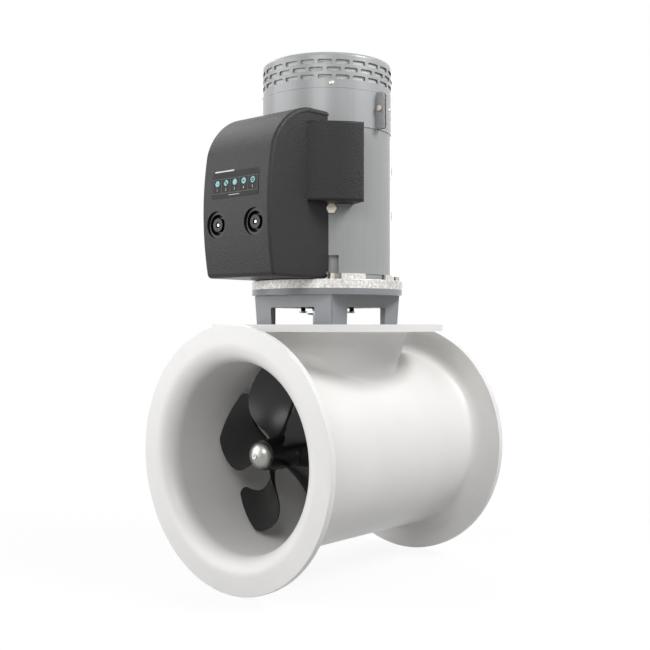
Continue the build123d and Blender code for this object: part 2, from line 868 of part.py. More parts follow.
# A blade is a twisted slab, thick in the middle and at the root, and cut to the outline seen along the shaft.
blade_turn = radians(first_blade_angle)
blade_out = (0, cos(blade_turn), sin(blade_turn))
blade_across = (0, -sin(blade_turn), cos(blade_turn))
outline_radii = (20, 32, 48, 70, 95, 120, prop_r)
with BuildPart() as blade:
    for height in (16, 45, 80, 115, 150):
        section_plane = Plane(
            origin=tuple(height * part for part in blade_out), x_dir=blade_across, z_dir=blade_out
        )
        lower_points, upper_points = blade_section(height)
        with BuildSketch(section_plane):
            with BuildLine():
                lower = Spline(*lower_points)
                upper = Spline(*upper_points)
                Line(lower @ 0, upper @ 0)
                Line(lower @ 1, upper @ 1)
            make_face()
    loft()
    with BuildSketch(Plane.YZ) as blade_outline:
        with BuildLine():
            leading = Spline(*[blade_edge_point(radius, -1) for radius in outline_radii])
            trailing = Spline(*[blade_edge_point(radius, 1) for radius in outline_radii])
            Line(leading @ 0, trailing @ 0)
            ThreePointArc(leading @ 1, blade_edge_point(prop_r, 0), trailing @ 1)
        make_face()
        for corner, radius in ((leading @ 1, blade_front_corner_r), (trailing @ 1, blade_back_corner_r)):
            fillet(blade_outline.vertices().sort_by_distance(corner)[0], radius)
    extrude(amount=2 * prop_r, both=True, mode=Mode.INTERSECT)

with BuildPart() as front_propeller:
    with BuildSketch(front_side):
        with BuildLine():
            Polyline((prop_shaft_r + seat_gap, hub_back_x), (hub_back_r, hub_back_x))
            ThreePointArc(
                (hub_back_r, hub_back_x),
                ((hub_back_r + hub_front_r) / 2 + 1, (hub_back_x + hub_front_x) / 2),
                (hub_front_r, hub_front_x),
            )
            Polyline(
                (hub_front_r, hub_front_x),
                (prop_shaft_r + seat_gap, hub_front_x),
                (prop_shaft_r + seat_gap, hub_back_x),
            )
        make_face()
    revolve(axis=Axis.X)
    for k in range(blade_count):
        add(blade.part, rotation=(360 / blade_count * k, 0, 0))
    with BuildSketch(front_side):
        ring_profile(0, prop_shaft_r + seat_gap, hub_back_x - 20, hub_front_x + 20)
    revolve(axis=Axis.X, mode=Mode.SUBTRACT)
    with Locations((-drive_pin_x, 0, 0)):
        Cylinder(drive_pin_r + seat_gap, 4 * hub_back_r, rotation=(90, 0, 0), mode=Mode.SUBTRACT)
write(front_propeller, "front_propeller")

with BuildPart() as front_drive_pin:
    with Locations((-drive_pin_x, 0, 0)):
        Cylinder(drive_pin_r, 2 * (hub_back_r - 2), rotation=(90, 0, 0))
write(front_drive_pin, "front_drive_pin")

# The zinc anode is a dome on the hub's nose, held by one central screw.
with BuildPart() as front_anode:
    with BuildSketch(front_side):
        with BuildLine():
            dome = EllipticalCenterArc(
                (0, hub_front_x + anode_rim), anode_r, anode_height - anode_rim, start_angle=0, arc_size=90
            )
            Polyline(dome @ 1, (0, hub_front_x), (anode_r, hub_front_x), dome @ 0)
        make_face()
    revolve(axis=Axis.X)
    with Locations(Location((-hub_front_x - anode_height, 0, 0), facing_front)):
        CounterBoreHole(
            radius=anode_screw_r + seat_gap,
            counter_bore_radius=anode_screw_head_r + seat_gap,
            counter_bore_depth=anode_screw_head_height - 1,
        )
write(front_anode, "front_anode")

nose_screw = socket_screw(anode_screw_r, anode_screw_length - 3, anode_screw_head_r, anode_screw_head_height)
with BuildPart() as front_anode_screw:
    with Locations(Location((-hub_front_x - anode_height + anode_screw_head_height - 1, 0, 0), facing_front)):
        add(nose_screw)
write(front_anode_screw, "front_anode_screw")

# The rear propeller and what carries it mirror the front ones, because the rear one turns the other way.
for piece, name in (
    (front_prop_shaft, "rear_prop_shaft"),
    (front_propeller, "rear_propeller"),
    (front_drive_pin, "rear_drive_pin"),
    (front_anode, "rear_anode"),
    (front_anode_screw, "rear_anode_screw"),
):
    with BuildPart() as rear_piece:
        add(mirror(piece.part, about=Plane.YZ, mode=Mode.PRIVATE))
    write(rear_piece, name)

# The coupling's lower half is a disc on a hub. The pins stand on it and reach through rubber bushes in the
# upper disc, which sits on the motor shaft.
coupling_disc_top_z = coupling_disc_z + coupling_disc_thickness
upper_disc_top_z = upper_disc_z + upper_disc_thickness
lower_hub_bore_r = coupling_seat_r + seat_gap
coupling_step_z = coupling_disc_z - coupling_step_height
with BuildPart() as coupling_lower:
    with BuildSketch(Plane.XZ):
        ring_profile(lower_hub_bore_r, coupling_hub_r, coupling_hub_z, coupling_disc_z)
        ring_profile(lower_hub_bore_r, coupling_step_r, coupling_step_z, coupling_disc_z)
        ring_profile(lower_hub_bore_r, coupling_r, coupling_disc_z, coupling_disc_top_z)
    revolve(axis=Axis.Z)
    with Locations((0, 0, coupling_disc_top_z)):
        with PolarLocations(coupling_pin_circle_r, coupling_pin_count, start_angle=coupling_pin_angle):
            Hole(radius=coupling_pin_r + seat_gap, depth=coupling_disc_thickness)
write(coupling_lower, "coupling_lower")

pin_bolt = hex_bolt(coupling_pin_r, upper_disc_top_z - coupling_disc_z - 0.2, pin_nut_r, pin_nut_height)
with BuildPart() as coupling_pins:
    with Locations((0, 0, upper_disc_top_z)):
        with PolarLocations(coupling_pin_circle_r, coupling_pin_count, start_angle=coupling_pin_angle):
            add(pin_bolt)
write(coupling_pins, "coupling_pins")

with BuildPart() as coupling_bushes:
    with Locations((0, 0, coupling_disc_top_z)):
        with PolarLocations(coupling_pin_circle_r, coupling_pin_count, start_angle=coupling_pin_angle):
            Cylinder(
                bush_r,
                upper_disc_top_z - coupling_disc_top_z - 0.2,
                align=(Align.CENTER, Align.CENTER, Align.MIN),
            )
            Cylinder(coupling_pin_r + seat_gap, 60, mode=Mode.SUBTRACT)
write(coupling_bushes, "coupling_bushes")

with BuildPart() as coupling_upper:
    with BuildSketch(Plane.XZ):
        ring_profile(shaft_end_r + seat_gap, coupling_r, upper_disc_z, upper_disc_top_z)
        ring_profile(shaft_end_r + seat_gap, upper_hub_r, upper_disc_z, upper_hub_top_z)
    revolve(axis=Axis.Z)
    with Locations((0, 0, upper_disc_top_z)):
        with PolarLocations(coupling_pin_circle_r, coupling_pin_count, start_angle=coupling_pin_angle):
            Hole(radius=bush_r + seat_gap, depth=upper_disc_thickness)
write(coupling_upper, "coupling_upper")

# The bracket is a cast square skirt with a window in each side and a round flange for the motor on top.
bolt_seat_z = plate_z - bracket_bolt_head_height - 0.3
with BuildPart() as motor_bracket:
    for height, half in ((deck_z, bracket_foot_half), (bracket_flange_z, bracket_head_half)):
        with BuildSketch(Plane.XY.offset(height)):
            RectangleRounded(2 * half, 2 * half, bracket_corner_r)
    loft()
    with BuildSketch(Plane.XY.offset(bracket_flange_z)):
        Circle(bracket_flange_r)
    extrude(amount=bracket_flange_thickness)
    inner_width = 2 * (bracket_foot_half - bracket_wall)
    with BuildSketch(Plane.XY.offset(deck_z)):
        RectangleRounded(inner_width, inner_width, bracket_inner_corner_r)
    extrude(amount=bracket_roof_z - deck_z, mode=Mode.SUBTRACT)
    with BuildSketch(Plane.XY.offset(bracket_roof_z)):
        Circle(bracket_bore_r)
    extrude(amount=plate_z - bracket_roof_z, mode=Mode.SUBTRACT)
    for angle, half in (
        (180, front_window_half),
        (270, front_window_half),
        (0, rear_window_half),
        (90, rear_window_half),
    ):
        with BuildSketch(radial_plane(0, angle, deck_z)):
            RectangleRounded(2 * half, 2 * (window_top_z - deck_z), window_corner_r)
        extrude(amount=2 * bracket_head_half, mode=Mode.SUBTRACT)
    with Locations((0, 0, plate_z)):
        with GridLocations(2 * bracket_bolt_offset, 2 * bracket_bolt_offset, 2, 2):
            CounterBoreHole(
                radius=bracket_bolt_r + seat_gap,
                counter_bore_radius=bracket_bolt_head_r + 0.3,
                counter_bore_depth=plate_z - bolt_seat_z,
                depth=plate_z - deck_z,
            )
        with PolarLocations(plate_bolt_circle_r, len(diagonal_angles), start_angle=diagonal_angles[0]):
            Hole(radius=plate_bolt_r + seat_gap, depth=bracket_flange_thickness)
write(motor_bracket, "motor_bracket")

bracket_bolt_length = bolt_seat_z - deck_z + bracket_bolt_depth - 1
bracket_bolt = socket_screw(
    bracket_bolt_r, bracket_bolt_length, bracket_bolt_head_r, bracket_bolt_head_height
)
with BuildPart() as bracket_bolts:
    with Locations((0, 0, bolt_seat_z)):
        with GridLocations(2 * bracket_bolt_offset, 2 * bracket_bolt_offset, 2, 2):
            add(bracket_bolt)
write(bracket_bolts, "bracket_bolts")

# The drive end plate closes the motor's lower end. The yoke stands on a machined ring with eight rough pads
# and eight drain slots, and a taller ring inside it centres it.
spigot_ring_r = yoke_inner_r - free_gap
spigot_ring_top_z = yoke_low_z + spigot_ring_height
with BuildPart() as drive_end_plate:
    with BuildSketch(Plane.XY.offset(plate_z)):
        Circle(plate_r)
    extrude(amount=plate_thickness)
    fillet(drive_end_plate.edges().group_by(Axis.Z)[-1], plate_edge_r)
    with BuildSketch(Plane.XZ):
        ring_profile(0, plate_boss_r, plate_z, lower_motor_bearing_z + motor_bearing_width)
    revolve(axis=Axis.Z)
    with BuildSketch(Plane.XZ):
        ring_profile(spigot_ring_r - 10, spigot_ring_r, plate_z + 1, spigot_ring_top_z)
        ring_profile(spigot_ring_r - 10, seat_ring_r, plate_z + 1, yoke_low_z)
    revolve(axis=Axis.Z)
    ring_slot_width = 2 * seat_ring_r * sin(radians(slot_span / 2))
    for diagonal in diagonal_angles:
        for start_turn, end_turn in pad_turns:
            with BuildSketch(Plane.XZ.rotated((0, 0, diagonal + start_turn))):
                ring_profile(spigot_ring_r - 5, pad_r, plate_z + 1, yoke_low_z)
            revolve(axis=Axis.Z, revolution_arc=end_turn - start_turn)
    slot_planes = [
        radial_plane(spigot_ring_r - 12, diagonal + slot_turn, plate_top_z + pad_height / 2)
        for diagonal in diagonal_angles
        for slot_turn in slot_turns
    ]
    with BuildSketch(*slot_planes):
        Rectangle(ring_slot_width, pad_height)
    extrude(amount=pad_r - spigot_ring_r + 14, mode=Mode.SUBTRACT)
    with BuildSketch(Plane.XY.offset(plate_z)):
        Circle(motor_bearing_bore_r + 2)
    extrude(amount=2 * plate_thickness, mode=Mode.SUBTRACT)
    with BuildSketch(Plane.XY.offset(lower_motor_bearing_z)):
        Circle(motor_bearing_r + seat_gap)
    extrude(amount=motor_bearing_width, mode=Mode.SUBTRACT)
    with Locations((0, 0, plate_top_z)):
        with PolarLocations(plate_bolt_circle_r, len(diagonal_angles), start_angle=diagonal_angles[0]):
            Hole(radius=plate_bolt_r + seat_gap, depth=plate_thickness)
write(drive_end_plate, "drive_end_plate")

end_plate_bolt = socket_screw(plate_bolt_r, plate_bolt_length, plate_bolt_head_r, plate_bolt_head_height)
with BuildPart() as end_plate_bolts:
    with Locations((0, 0, plate_top_z)):
        with PolarLocations(plate_bolt_circle_r, len(diagonal_angles), start_angle=diagonal_angles[0]):
            add(end_plate_bolt)
write(end_plate_bolts, "end_plate_bolts")

motor_bearing = bearing(motor_bearing_bore_r + running_gap, motor_bearing_r, motor_bearing_width)
with BuildPart() as motor_bearings:
    with Locations((0, 0, lower_motor_bearing_z), (0, 0, upper_motor_bearing_z)):
        add(motor_bearing)
write(motor_bearings, "motor_bearings")

# The yoke is a steel tube with four notches in its foot and a window over each brush.
pole_screw_seat_r = motor_r - pole_screw_recess_depth
brush_angles = (0, 90, 180, 270)
with BuildPart() as motor_yoke:
    with BuildSketch(Plane.XY.offset(yoke_low_z)):
        Circle(motor_r)
        Circle(yoke_inner_r, mode=Mode.SUBTRACT)
    extrude(amount=yoke_top_z - yoke_low_z)
    notch_width = 2 * motor_r * sin(radians(notch_span / 2))
    brush_window_width = 2 * motor_r * sin(radians(brush_window_half_angle))
    brush_window_height = brush_window_high_z - brush_window_low_z
    for turn in brush_angles:
        with BuildSketch(radial_plane(yoke_inner_r - 5, notch_angle + turn, yoke_low_z)):
            Rectangle(notch_width, 2 * notch_height)
        extrude(amount=motor_wall + 10, mode=Mode.SUBTRACT)
        with BuildSketch(radial_plane(yoke_inner_r - 5, turn, brush_window_low_z + brush_window_height / 2)):
            Rectangle(brush_window_width, brush_window_height)
        extrude(amount=motor_wall + 10, mode=Mode.SUBTRACT)
    for diagonal in diagonal_angles:
        for height in pole_screw_heights:
            with BuildSketch(radial_plane(pole_screw_seat_r, diagonal, height)):
                Circle(pole_screw_recess_r)
            extrude(amount=motor_wall, mode=Mode.SUBTRACT)
            with BuildSketch(radial_plane(yoke_inner_r - 2, diagonal, height)):
                Circle(pole_screw_r + seat_gap)
            extrude(amount=motor_wall + 2, mode=Mode.SUBTRACT)
    with Locations(radial_plane(motor_r, band_screw_angle, band_screw_z).location):
        Hole(radius=vent_screw_r + seat_gap, depth=motor_wall)
write(motor_yoke, "motor_yoke")

# Four pole shoes stand on the diagonals inside the yoke, each with a field coil around its neck.
shoe_inner_r = armature_r + air_gap
shoe_outer_r = shoe_inner_r + pole_shoe_thickness
pole_height = pole_high_z - pole_low_z
pole_seat_r = yoke_inner_r - seat_gap
with BuildPart() as pole_shoe:
    with BuildSketch(Plane.XY.offset(pole_low_z)):
        with Locations((pole_seat_r / 2 + 10, 0)):
            Rectangle(pole_seat_r + 20, 2 * pole_half_width)
        Circle(pole_seat_r, mode=Mode.INTERSECT)
        Circle(shoe_inner_r + 2, mode=Mode.SUBTRACT)
    extrude(amount=pole_height)
    with BuildSketch(Plane.XZ.rotated((0, 0, -pole_shoe_half_angle))):
        ring_profile(shoe_inner_r, shoe_outer_r, pole_low_z, pole_high_z)
    revolve(axis=Axis.Z, revolution_arc=2 * pole_shoe_half_angle)
    for height in pole_screw_heights:
        with BuildSketch(radial_plane(pole_screw_seat_r - pole_screw_depth - 1, 0, height)):
            Circle(pole_screw_r + seat_gap)
        extrude(amount=pole_screw_depth + 1, mode=Mode.SUBTRACT)

with BuildPart() as pole_shoes:
    for diagonal in diagonal_angles:
        add(pole_shoe.part, rotation=(0, 0, diagonal))
write(pole_shoes, "pole_shoes")

coil_outer_r = sqrt((yoke_inner_r - free_gap) ** 2 - coil_half_width**2)
coil_inner_height = pole_height + 1
with BuildPart() as field_coil:
    coil_plane = radial_plane(coil_outer_r - coil_thickness, 0, (pole_low_z + pole_high_z) / 2)
    with BuildSketch(coil_plane):
        RectangleRounded(2 * coil_half_width, coil_inner_height + 2 * coil_end, coil_end)
        Rectangle(2 * pole_half_width + 1, coil_inner_height, mode=Mode.SUBTRACT)
    extrude(amount=coil_thickness)

with BuildPart() as field_coils:
    for diagonal in diagonal_angles:
        add(field_coil.part, rotation=(0, 0, diagonal))
write(field_coils, "field_coils")

pole_screw = hex_bolt(pole_screw_r, pole_screw_depth, pole_screw_head_r, pole_screw_head_height)
with BuildPart() as pole_screws:
    for diagonal in diagonal_angles:
        for height in pole_screw_heights:
            with Locations(radial_plane(pole_screw_seat_r, diagonal, height).location):
                add(pole_screw)
write(pole_screws, "pole_screws")

# The armature: a slotted core, its winding, the commutator and the fan, all fixed on one shaft.
shaft_middle_low_z = lower_motor_bearing_z + motor_bearing_width + 0.5
shaft_middle_high_z = upper_motor_bearing_z - 4
fan_seat_low_z = fan_low_z - 6
with BuildPart() as armature_shaft:
    with BuildSketch(Plane.XZ):
        ring_profile(0, shaft_end_r, upper_disc_z, lower_motor_bearing_z - 1)
        ring_profile(0, motor_bearing_bore_r, lower_motor_bearing_z - 1, fan_seat_low_z)
        ring_profile(0, shaft_middle_r, shaft_middle_low_z, shaft_middle_high_z)
        ring_profile(0, fan_seat_r, fan_seat_low_z, fan_high_z + 4)
    revolve(axis=Axis.Z)
write(armature_shaft, "armature_shaft")

with BuildPart() as armature_core:
    with BuildSketch(Plane.XY.offset(pole_low_z)):
        Circle(armature_r)
        with PolarLocations(armature_r - slot_depth / 2 + 1, slot_count):
            Rectangle(slot_depth + 2, slot_width, mode=Mode.SUBTRACT)
        Circle(shaft_middle_r + seat_gap, mode=Mode.SUBTRACT)
    extrude(amount=pole_height)
write(armature_core, "armature_core")

with BuildPart() as armature_winding:
    with BuildSketch(Plane.XZ):
        ring_profile(end_winding_inner_r, end_winding_outer_r, pole_low_z - end_winding_length, pole_low_z)
        ring_profile(end_winding_inner_r, end_winding_outer_r, pole_high_z, pole_high_z + end_winding_length)
    revolve(axis=Axis.Z)
    with BuildSketch(Plane.XY.offset(pole_low_z - 1)):
        with PolarLocations(armature_r - slot_depth / 2 - 0.3, slot_count):
            Rectangle(slot_depth - 1, slot_width - 0.6)
    extrude(amount=pole_height + 2)
write(armature_winding, "armature_winding")

commutator_bore_r = shaft_middle_r + seat_gap
riser_top_z = commutator_low_z + commutator_riser_height
with BuildPart() as commutator:
    with BuildSketch(Plane.XZ):
        ring_profile(commutator_bore_r, commutator_r, commutator_low_z, commutator_high_z)
        ring_profile(commutator_bore_r, commutator_riser_r, commutator_low_z, riser_top_z)
    revolve(axis=Axis.Z)
    with BuildSketch(Plane.XY.offset(commutator_low_z)):
        with PolarLocations(commutator_riser_r - commutator_slit_depth, 2 * slot_count):
            Rectangle(2 * (commutator_slit_depth + commutator_riser_r - commutator_r), commutator_slit)
    extrude(amount=commutator_high_z - commutator_low_z, mode=Mode.SUBTRACT)
write(commutator, "commutator")

with BuildPart() as cooling_fan:
    with BuildSketch(Plane.XZ):
        ring_profile(fan_seat_r + seat_gap, fan_r, fan_low_z, fan_low_z + fan_disc_thickness)
        ring_profile(fan_seat_r + seat_gap, fan_hub_r, fan_low_z, fan_high_z)
    revolve(axis=Axis.Z)
    with BuildSketch(Plane.XY.offset(fan_low_z)):
        with PolarLocations((fan_r + fan_hub_r) / 2, fan_blade_count):
            Rectangle(fan_r - fan_hub_r + 1, fan_blade_thickness)
    extrude(amount=fan_high_z - fan_low_z)
write(cooling_fan, "cooling_fan")

# Four brushes press on the commutator, each in its own holder under a common ring.
brush_inner_r = commutator_r + brush_lift
brush_outer_r = brush_inner_r + brush_length
brush_middle_z = (riser_top_z + commutator_high_z) / 2
brush_ring_top_z = brush_ring_z + brush_ring_thickness
holder_inner_r = brush_inner_r + 3
with BuildPart() as brush_gear:
    with BuildSketch(Plane.XZ):
        ring_profile(brush_ring_inner_r, brush_ring_outer_r, brush_ring_z, brush_ring_top_z)
    revolve(axis=Axis.Z)
    for angle in brush_angles:
        with BuildSketch(radial_plane(holder_inner_r, angle, brush_middle_z)):
            with Locations((0, brush_ring_z - brush_middle_z)):
                Rectangle(
                    brush_width + 2 * holder_wall,
                    2 * (brush_ring_z - brush_middle_z + brush_height / 2 + holder_wall),
                )
        extrude(amount=holder_outer_r - holder_inner_r)
    with BuildSketch(Plane.XY.offset(brush_ring_top_z)):
        Circle(2 * brush_ring_outer_r)
    extrude(amount=60, mode=Mode.SUBTRACT)
    for angle in brush_angles:
        with BuildSketch(radial_plane(holder_inner_r - 5, angle, brush_middle_z)):
            Rectangle(brush_width + 0.6, brush_height + 0.6)
        extrude(amount=holder_outer_r, mode=Mode.SUBTRACT)
write(brush_gear, "brush_gear")

with BuildPart() as brushes:
    for angle in brush_angles:
        with BuildSketch(radial_plane(brush_inner_r, angle, brush_middle_z)):
            Rectangle(brush_width, brush_height)
        extrude(amount=brush_length)
write(brushes, "brushes")

with BuildPart() as brush_springs:
    for angle in brush_angles:
        roll = radial_plane(brush_outer_r + spring_r + 0.2, angle, brush_middle_z)
        with BuildSketch(Plane(origin=roll.origin, x_dir=roll.z_dir, z_dir=roll.x_dir)):
            Circle(spring_r)
            Circle(spring_eye_r, mode=Mode.SUBTRACT)
        extrude(amount=brush_width / 2 - 1, both=True)
write(brush_springs, "brush_springs")

# The upper end shield closes the yoke. Its boss holds the upper bearing and its ports let the fan's air pass.
boss_low_z = upper_motor_bearing_z - 2
shield_top_z = shield_z + shield_thickness
with BuildPart() as upper_end_shield:
    with BuildSketch(Plane.XZ):
        ring_profile(0, shield_rim_r, shield_z, shield_top_z)
        ring_profile(shield_rim_r - 6, shield_rim_r, shield_z, shield_z + shield_rim_height)
        ring_profile(yoke_inner_r - 8, yoke_inner_r - free_gap, brush_ring_top_z, shield_z + 1)
        ring_profile(0, shield_boss_r, boss_low_z, shield_boss_top_z)
    revolve(axis=Axis.Z)
    for angle in brush_angles:
        with BuildSketch(Plane.XZ.rotated((0, 0, angle - shield_port_half_angle))):
            ring_profile(shield_port_inner_r, shield_port_outer_r, shield_z - 1, shield_top_z + 1)
        revolve(axis=Axis.Z, revolution_arc=2 * shield_port_half_angle, mode=Mode.SUBTRACT)
    with BuildSketch(Plane.XZ):
        ring_profile(0, motor_bearing_bore_r + 2, boss_low_z, shield_boss_top_z)
        ring_profile(0, motor_bearing_r + seat_gap, upper_motor_bearing_z, shield_boss_top_z)
    revolve(axis=Axis.Z, mode=Mode.SUBTRACT)
    for diagonal in diagonal_angles:
        with BuildSketch(radial_plane(shield_rim_r - 10, diagonal, vent_screw_z)):
            Circle(vent_screw_r + seat_gap)
        extrude(amount=14, mode=Mode.SUBTRACT)
write(upper_end_shield, "upper_end_shield")

# The band closes the brush windows. It is a thin strip pulled together by a bolt through two ears.
band_inner_r = motor_r + running_gap
band_outer_r = band_inner_r + band_thickness
band_middle_z = band_z + band_height / 2
ear_length = band_ear_r - band_inner_r
with BuildPart() as brush_band:
    with BuildSketch(Plane.XY.offset(band_z)):
        Circle(band_outer_r)
        Circle(band_inner_r, mode=Mode.SUBTRACT)
    extrude(amount=band_height)
    ear_plane = Plane(
        origin=at_angle(0, 0, band_z),
        x_dir=(cos(radians(band_ear_angle)), sin(radians(band_ear_angle)), 0),
        z_dir=(-sin(radians(band_ear_angle)), cos(radians(band_ear_angle)), 0),
    )
    with BuildSketch(ear_plane) as ear_face:
        with Locations((band_inner_r + ear_length / 2, -band_height / 2)):
            Rectangle(ear_length, band_height)
        outer_corners = ear_face.vertices().group_by(Axis.X)[-1]
        chamfer(outer_corners.sort_by(Axis.Y)[0], 5)
        with Locations((band_inner_r + ear_length / 2 + 1, band_z - band_bolt_z)):
            Circle(band_bolt_r + seat_gap, mode=Mode.SUBTRACT)
    extrude(amount=band_ear_gap / 2 + band_ear_thickness, both=True)
    with BuildSketch(radial_plane(band_inner_r - 2, band_ear_angle, band_middle_z)):
        Rectangle(band_ear_gap, band_height + 1)
    extrude(amount=ear_length + 4, mode=Mode.SUBTRACT)
    with Locations(radial_plane(band_outer_r, band_screw_angle, band_screw_z).location):
        Hole(radius=vent_screw_r + seat_gap, depth=2 * band_thickness)
write(brush_band, "brush_band")

# One hexagon bolt with a nut clamps the band and one small screw fixes it to the yoke.
ear_outside = band_ear_gap / 2 + band_ear_thickness
band_bolt = hex_bolt(band_bolt_r, 2 * ear_outside + 6, band_bolt_head_r, band_bolt_head_height)
band_screw = pan_screw(vent_screw_r, vent_screw_length, band_screw_head_r, vent_screw_head_height)
with BuildPart() as band_bolts:
    with Locations(Location((-ear_outside, -band_inner_r - ear_length / 2 - 1, band_bolt_z), (0, -90, 0))):
        add(band_bolt)
    with BuildSketch(Plane.YZ.offset(ear_outside)):
        with Locations((-band_inner_r - ear_length / 2 - 1, band_bolt_z)):
            RegularPolygon(band_bolt_head_r, 6)
    extrude(amount=band_bolt_head_height)
    with Locations(radial_plane(band_outer_r, band_screw_angle, band_screw_z).location):
        add(band_screw)
write(band_bolts, "band_bolts")

# The vent cover is a pressed cap over the fan with three staggered rows of slots.
slot_step = 360 / vent_slot_count
slot_width = 2 * vent_r * sin(radians(vent_slot_angle / 2))
with BuildPart() as vent_cover:
    with BuildSketch(Plane.XY.offset(vent_bottom_z)):
        Circle(vent_r)
    extrude(amount=vent_top_z - vent_bottom_z)
    fillet(vent_cover.edges().group_by(Axis.Z)[-1], vent_edge_r)
    with BuildSketch(Plane.XY.offset(vent_bottom_z)):
        Circle(vent_r - vent_wall)
    extrude(amount=vent_top_z - vent_bottom_z - vent_edge_r, mode=Mode.SUBTRACT)
    with BuildSketch(Plane.XY.offset(vent_bottom_z)):
        Circle(vent_r - vent_edge_r)
    extrude(amount=vent_top_z - vent_bottom_z - vent_wall, mode=Mode.SUBTRACT)
    slot_planes = [
        radial_plane(
            vent_r - vent_wall - 2,
            vent_slot_phase + slot_step * (k + 0.5 * (row % 2)),
            vent_slot_top_z - vent_slot_height / 2 - row * vent_slot_pitch,
        )
        for row in range(3)
        for k in range(vent_slot_count)
    ]
    with BuildSketch(*slot_planes):
        RectangleRounded(slot_width, vent_slot_height, vent_slot_corner_r)
    extrude(amount=vent_wall + 4, mode=Mode.SUBTRACT)
    screw_planes = [radial_plane(vent_r - vent_wall - 2, angle, vent_screw_z) for angle in diagonal_angles]
    with BuildSketch(*screw_planes):
        Circle(vent_screw_r + seat_gap)
    extrude(amount=vent_wall + 4, mode=Mode.SUBTRACT)
write(vent_cover, "vent_cover")

# A fine wire screen stands on the shield's rim behind the slots and keeps dirt out of the motor.
screen_low_z = shield_z + shield_rim_height
with BuildPart() as vent_screen:
    with BuildSketch(Plane.XZ):
        ring_profile(screen_r - screen_thickness, screen_r, screen_low_z, screen_low_z + screen_height)
    revolve(axis=Axis.Z)
write(vent_screen, "vent_screen")

vent_screw = pan_screw(vent_screw_r, vent_screw_length, vent_screw_head_r, vent_screw_head_height)
with BuildPart() as vent_cover_screws:
    for diagonal in diagonal_angles:
        with Locations(radial_plane(vent_r, diagonal, vent_screw_z).location):
            add(vent_screw)
write(vent_cover_screws, "vent_cover_screws")


def cover_outline(inset):
    """The control cover seen from the side, drawn in by an inset all round except at the back."""
    low_z = cover_bottom_z + inset
    top_z = cover_top_z - inset
    front_x = -cover_panel_x + inset
    brow_r = cover_brow_r - inset
    brow_start = (front_x - 1.5, cover_shoulder_z)
    brow_middle = (
        -cover_brow_centre_x - brow_r * cos(radians(cover_brow_middle_angle)),
        cover_brow_centre_z + brow_r * sin(radians(cover_brow_middle_angle)),
    )
    brow_end_x = -cover_brow_centre_x - sqrt(brow_r**2 - (top_z - cover_brow_centre_z) ** 2)
    panel_middle = (front_x - cover_panel_bulge, (low_z + cover_shoulder_z) / 2)
    with BuildSketch() as side_view:
        with BuildLine():
            panel = ThreePointArc((front_x, low_z), panel_middle, brow_start)
            brow = ThreePointArc(brow_start, brow_middle, (brow_end_x, top_z))
            Polyline(brow @ 1, (-cover_back_x, top_z), (-cover_back_x, low_z), panel @ 0)
        make_face()
        for level, radius in ((low_z, cover_foot_r), (cover_shoulder_z, cover_soft_r), (top_z, cover_soft_r)):
            corners = side_view.vertices().filter_by_position(Axis.Y, level - 1, level + 1)
            fillet(corners.sort_by(Axis.X)[0], radius)
    return side_view.sketch


def cover_block(inset):
    """The control cover's body as a solid block, drawn in by an inset."""
    with BuildPart() as block:
        with BuildSketch(Plane.XZ):
            add(cover_outline(inset))
        extrude(amount=cover_half_width - inset, both=True)
        side_edges = block.faces().filter_by(Plane.XZ).edges()
        fillet(side_edges.filter_by_position(Axis.X, -300, -cover_back_x - 1), cover_side_r - inset)
    return block.part


def cover_pod(inset):
    """The pod on the control cover's side as a solid block, drawn in by an inset."""
    with BuildPart() as pod:
        with BuildSketch(Plane.XZ.rotated((0, 0, pod_start_angle))):
            ring_profile(motor_r - 20, pod_r - inset, pod_low_z + inset, pod_high_z - inset)
        revolve(axis=Axis.Z, revolution_arc=pod_end_angle - pod_start_angle - degrees(inset / pod_r))
        pod_face = pod.faces().filter_by(GeomType.CYLINDER).sort_by(SortBy.AREA)[-1]
        fillet(pod_face.edges(), pod_corner_r - inset)
    return pod.part


# The control cover is a deep moulding that hugs the motor, with a domed front panel and a pod on one side.
motor_clearances = (
    (cover_bottom_z, yoke_low_z + 2, pad_r + 1),
    (yoke_low_z + 2, band_z - 1, motor_r + free_gap),
    (band_z - 1, cover_top_z, band_outer_r + free_gap),
)
with BuildPart() as control_cover:
    add(cover_block(0))
    for side in (-1, 1):
        with BuildSketch(Plane.XZ.offset(side * cover_half_width)):
            add(cover_outline(cover_bead_width))
        extrude(amount=-side * cover_bead_depth, mode=Mode.SUBTRACT)
    add(cover_pod(0))
    add(cover_block(cover_wall), mode=Mode.SUBTRACT)
    add(cover_pod(cover_wall), mode=Mode.SUBTRACT)
    with BuildSketch(Plane.XZ):
        for low_z, high_z, clear_r in motor_clearances:
            ring_profile(0, clear_r, low_z - 1, high_z + 1)
    revolve(axis=Axis.Z, mode=Mode.SUBTRACT)
    for diagonal in (135, 225):
        for height in pole_screw_heights:
            with BuildSketch(radial_plane(motor_r - 10, diagonal, height)):
                Circle(pole_screw_relief_r)
            extrude(amount=10 + pole_screw_head_height, mode=Mode.SUBTRACT)
    with BuildSketch(Plane.YZ.offset(-cover_panel_x - 2 * cover_panel_bulge)):
        with Locations((-gland_spacing / 2, gland_z), (gland_spacing / 2, gland_z)):
            Circle(gland_r + 0.3)
    extrude(amount=3 * cover_panel_bulge, mode=Mode.SUBTRACT)
write(control_cover, "control_cover")

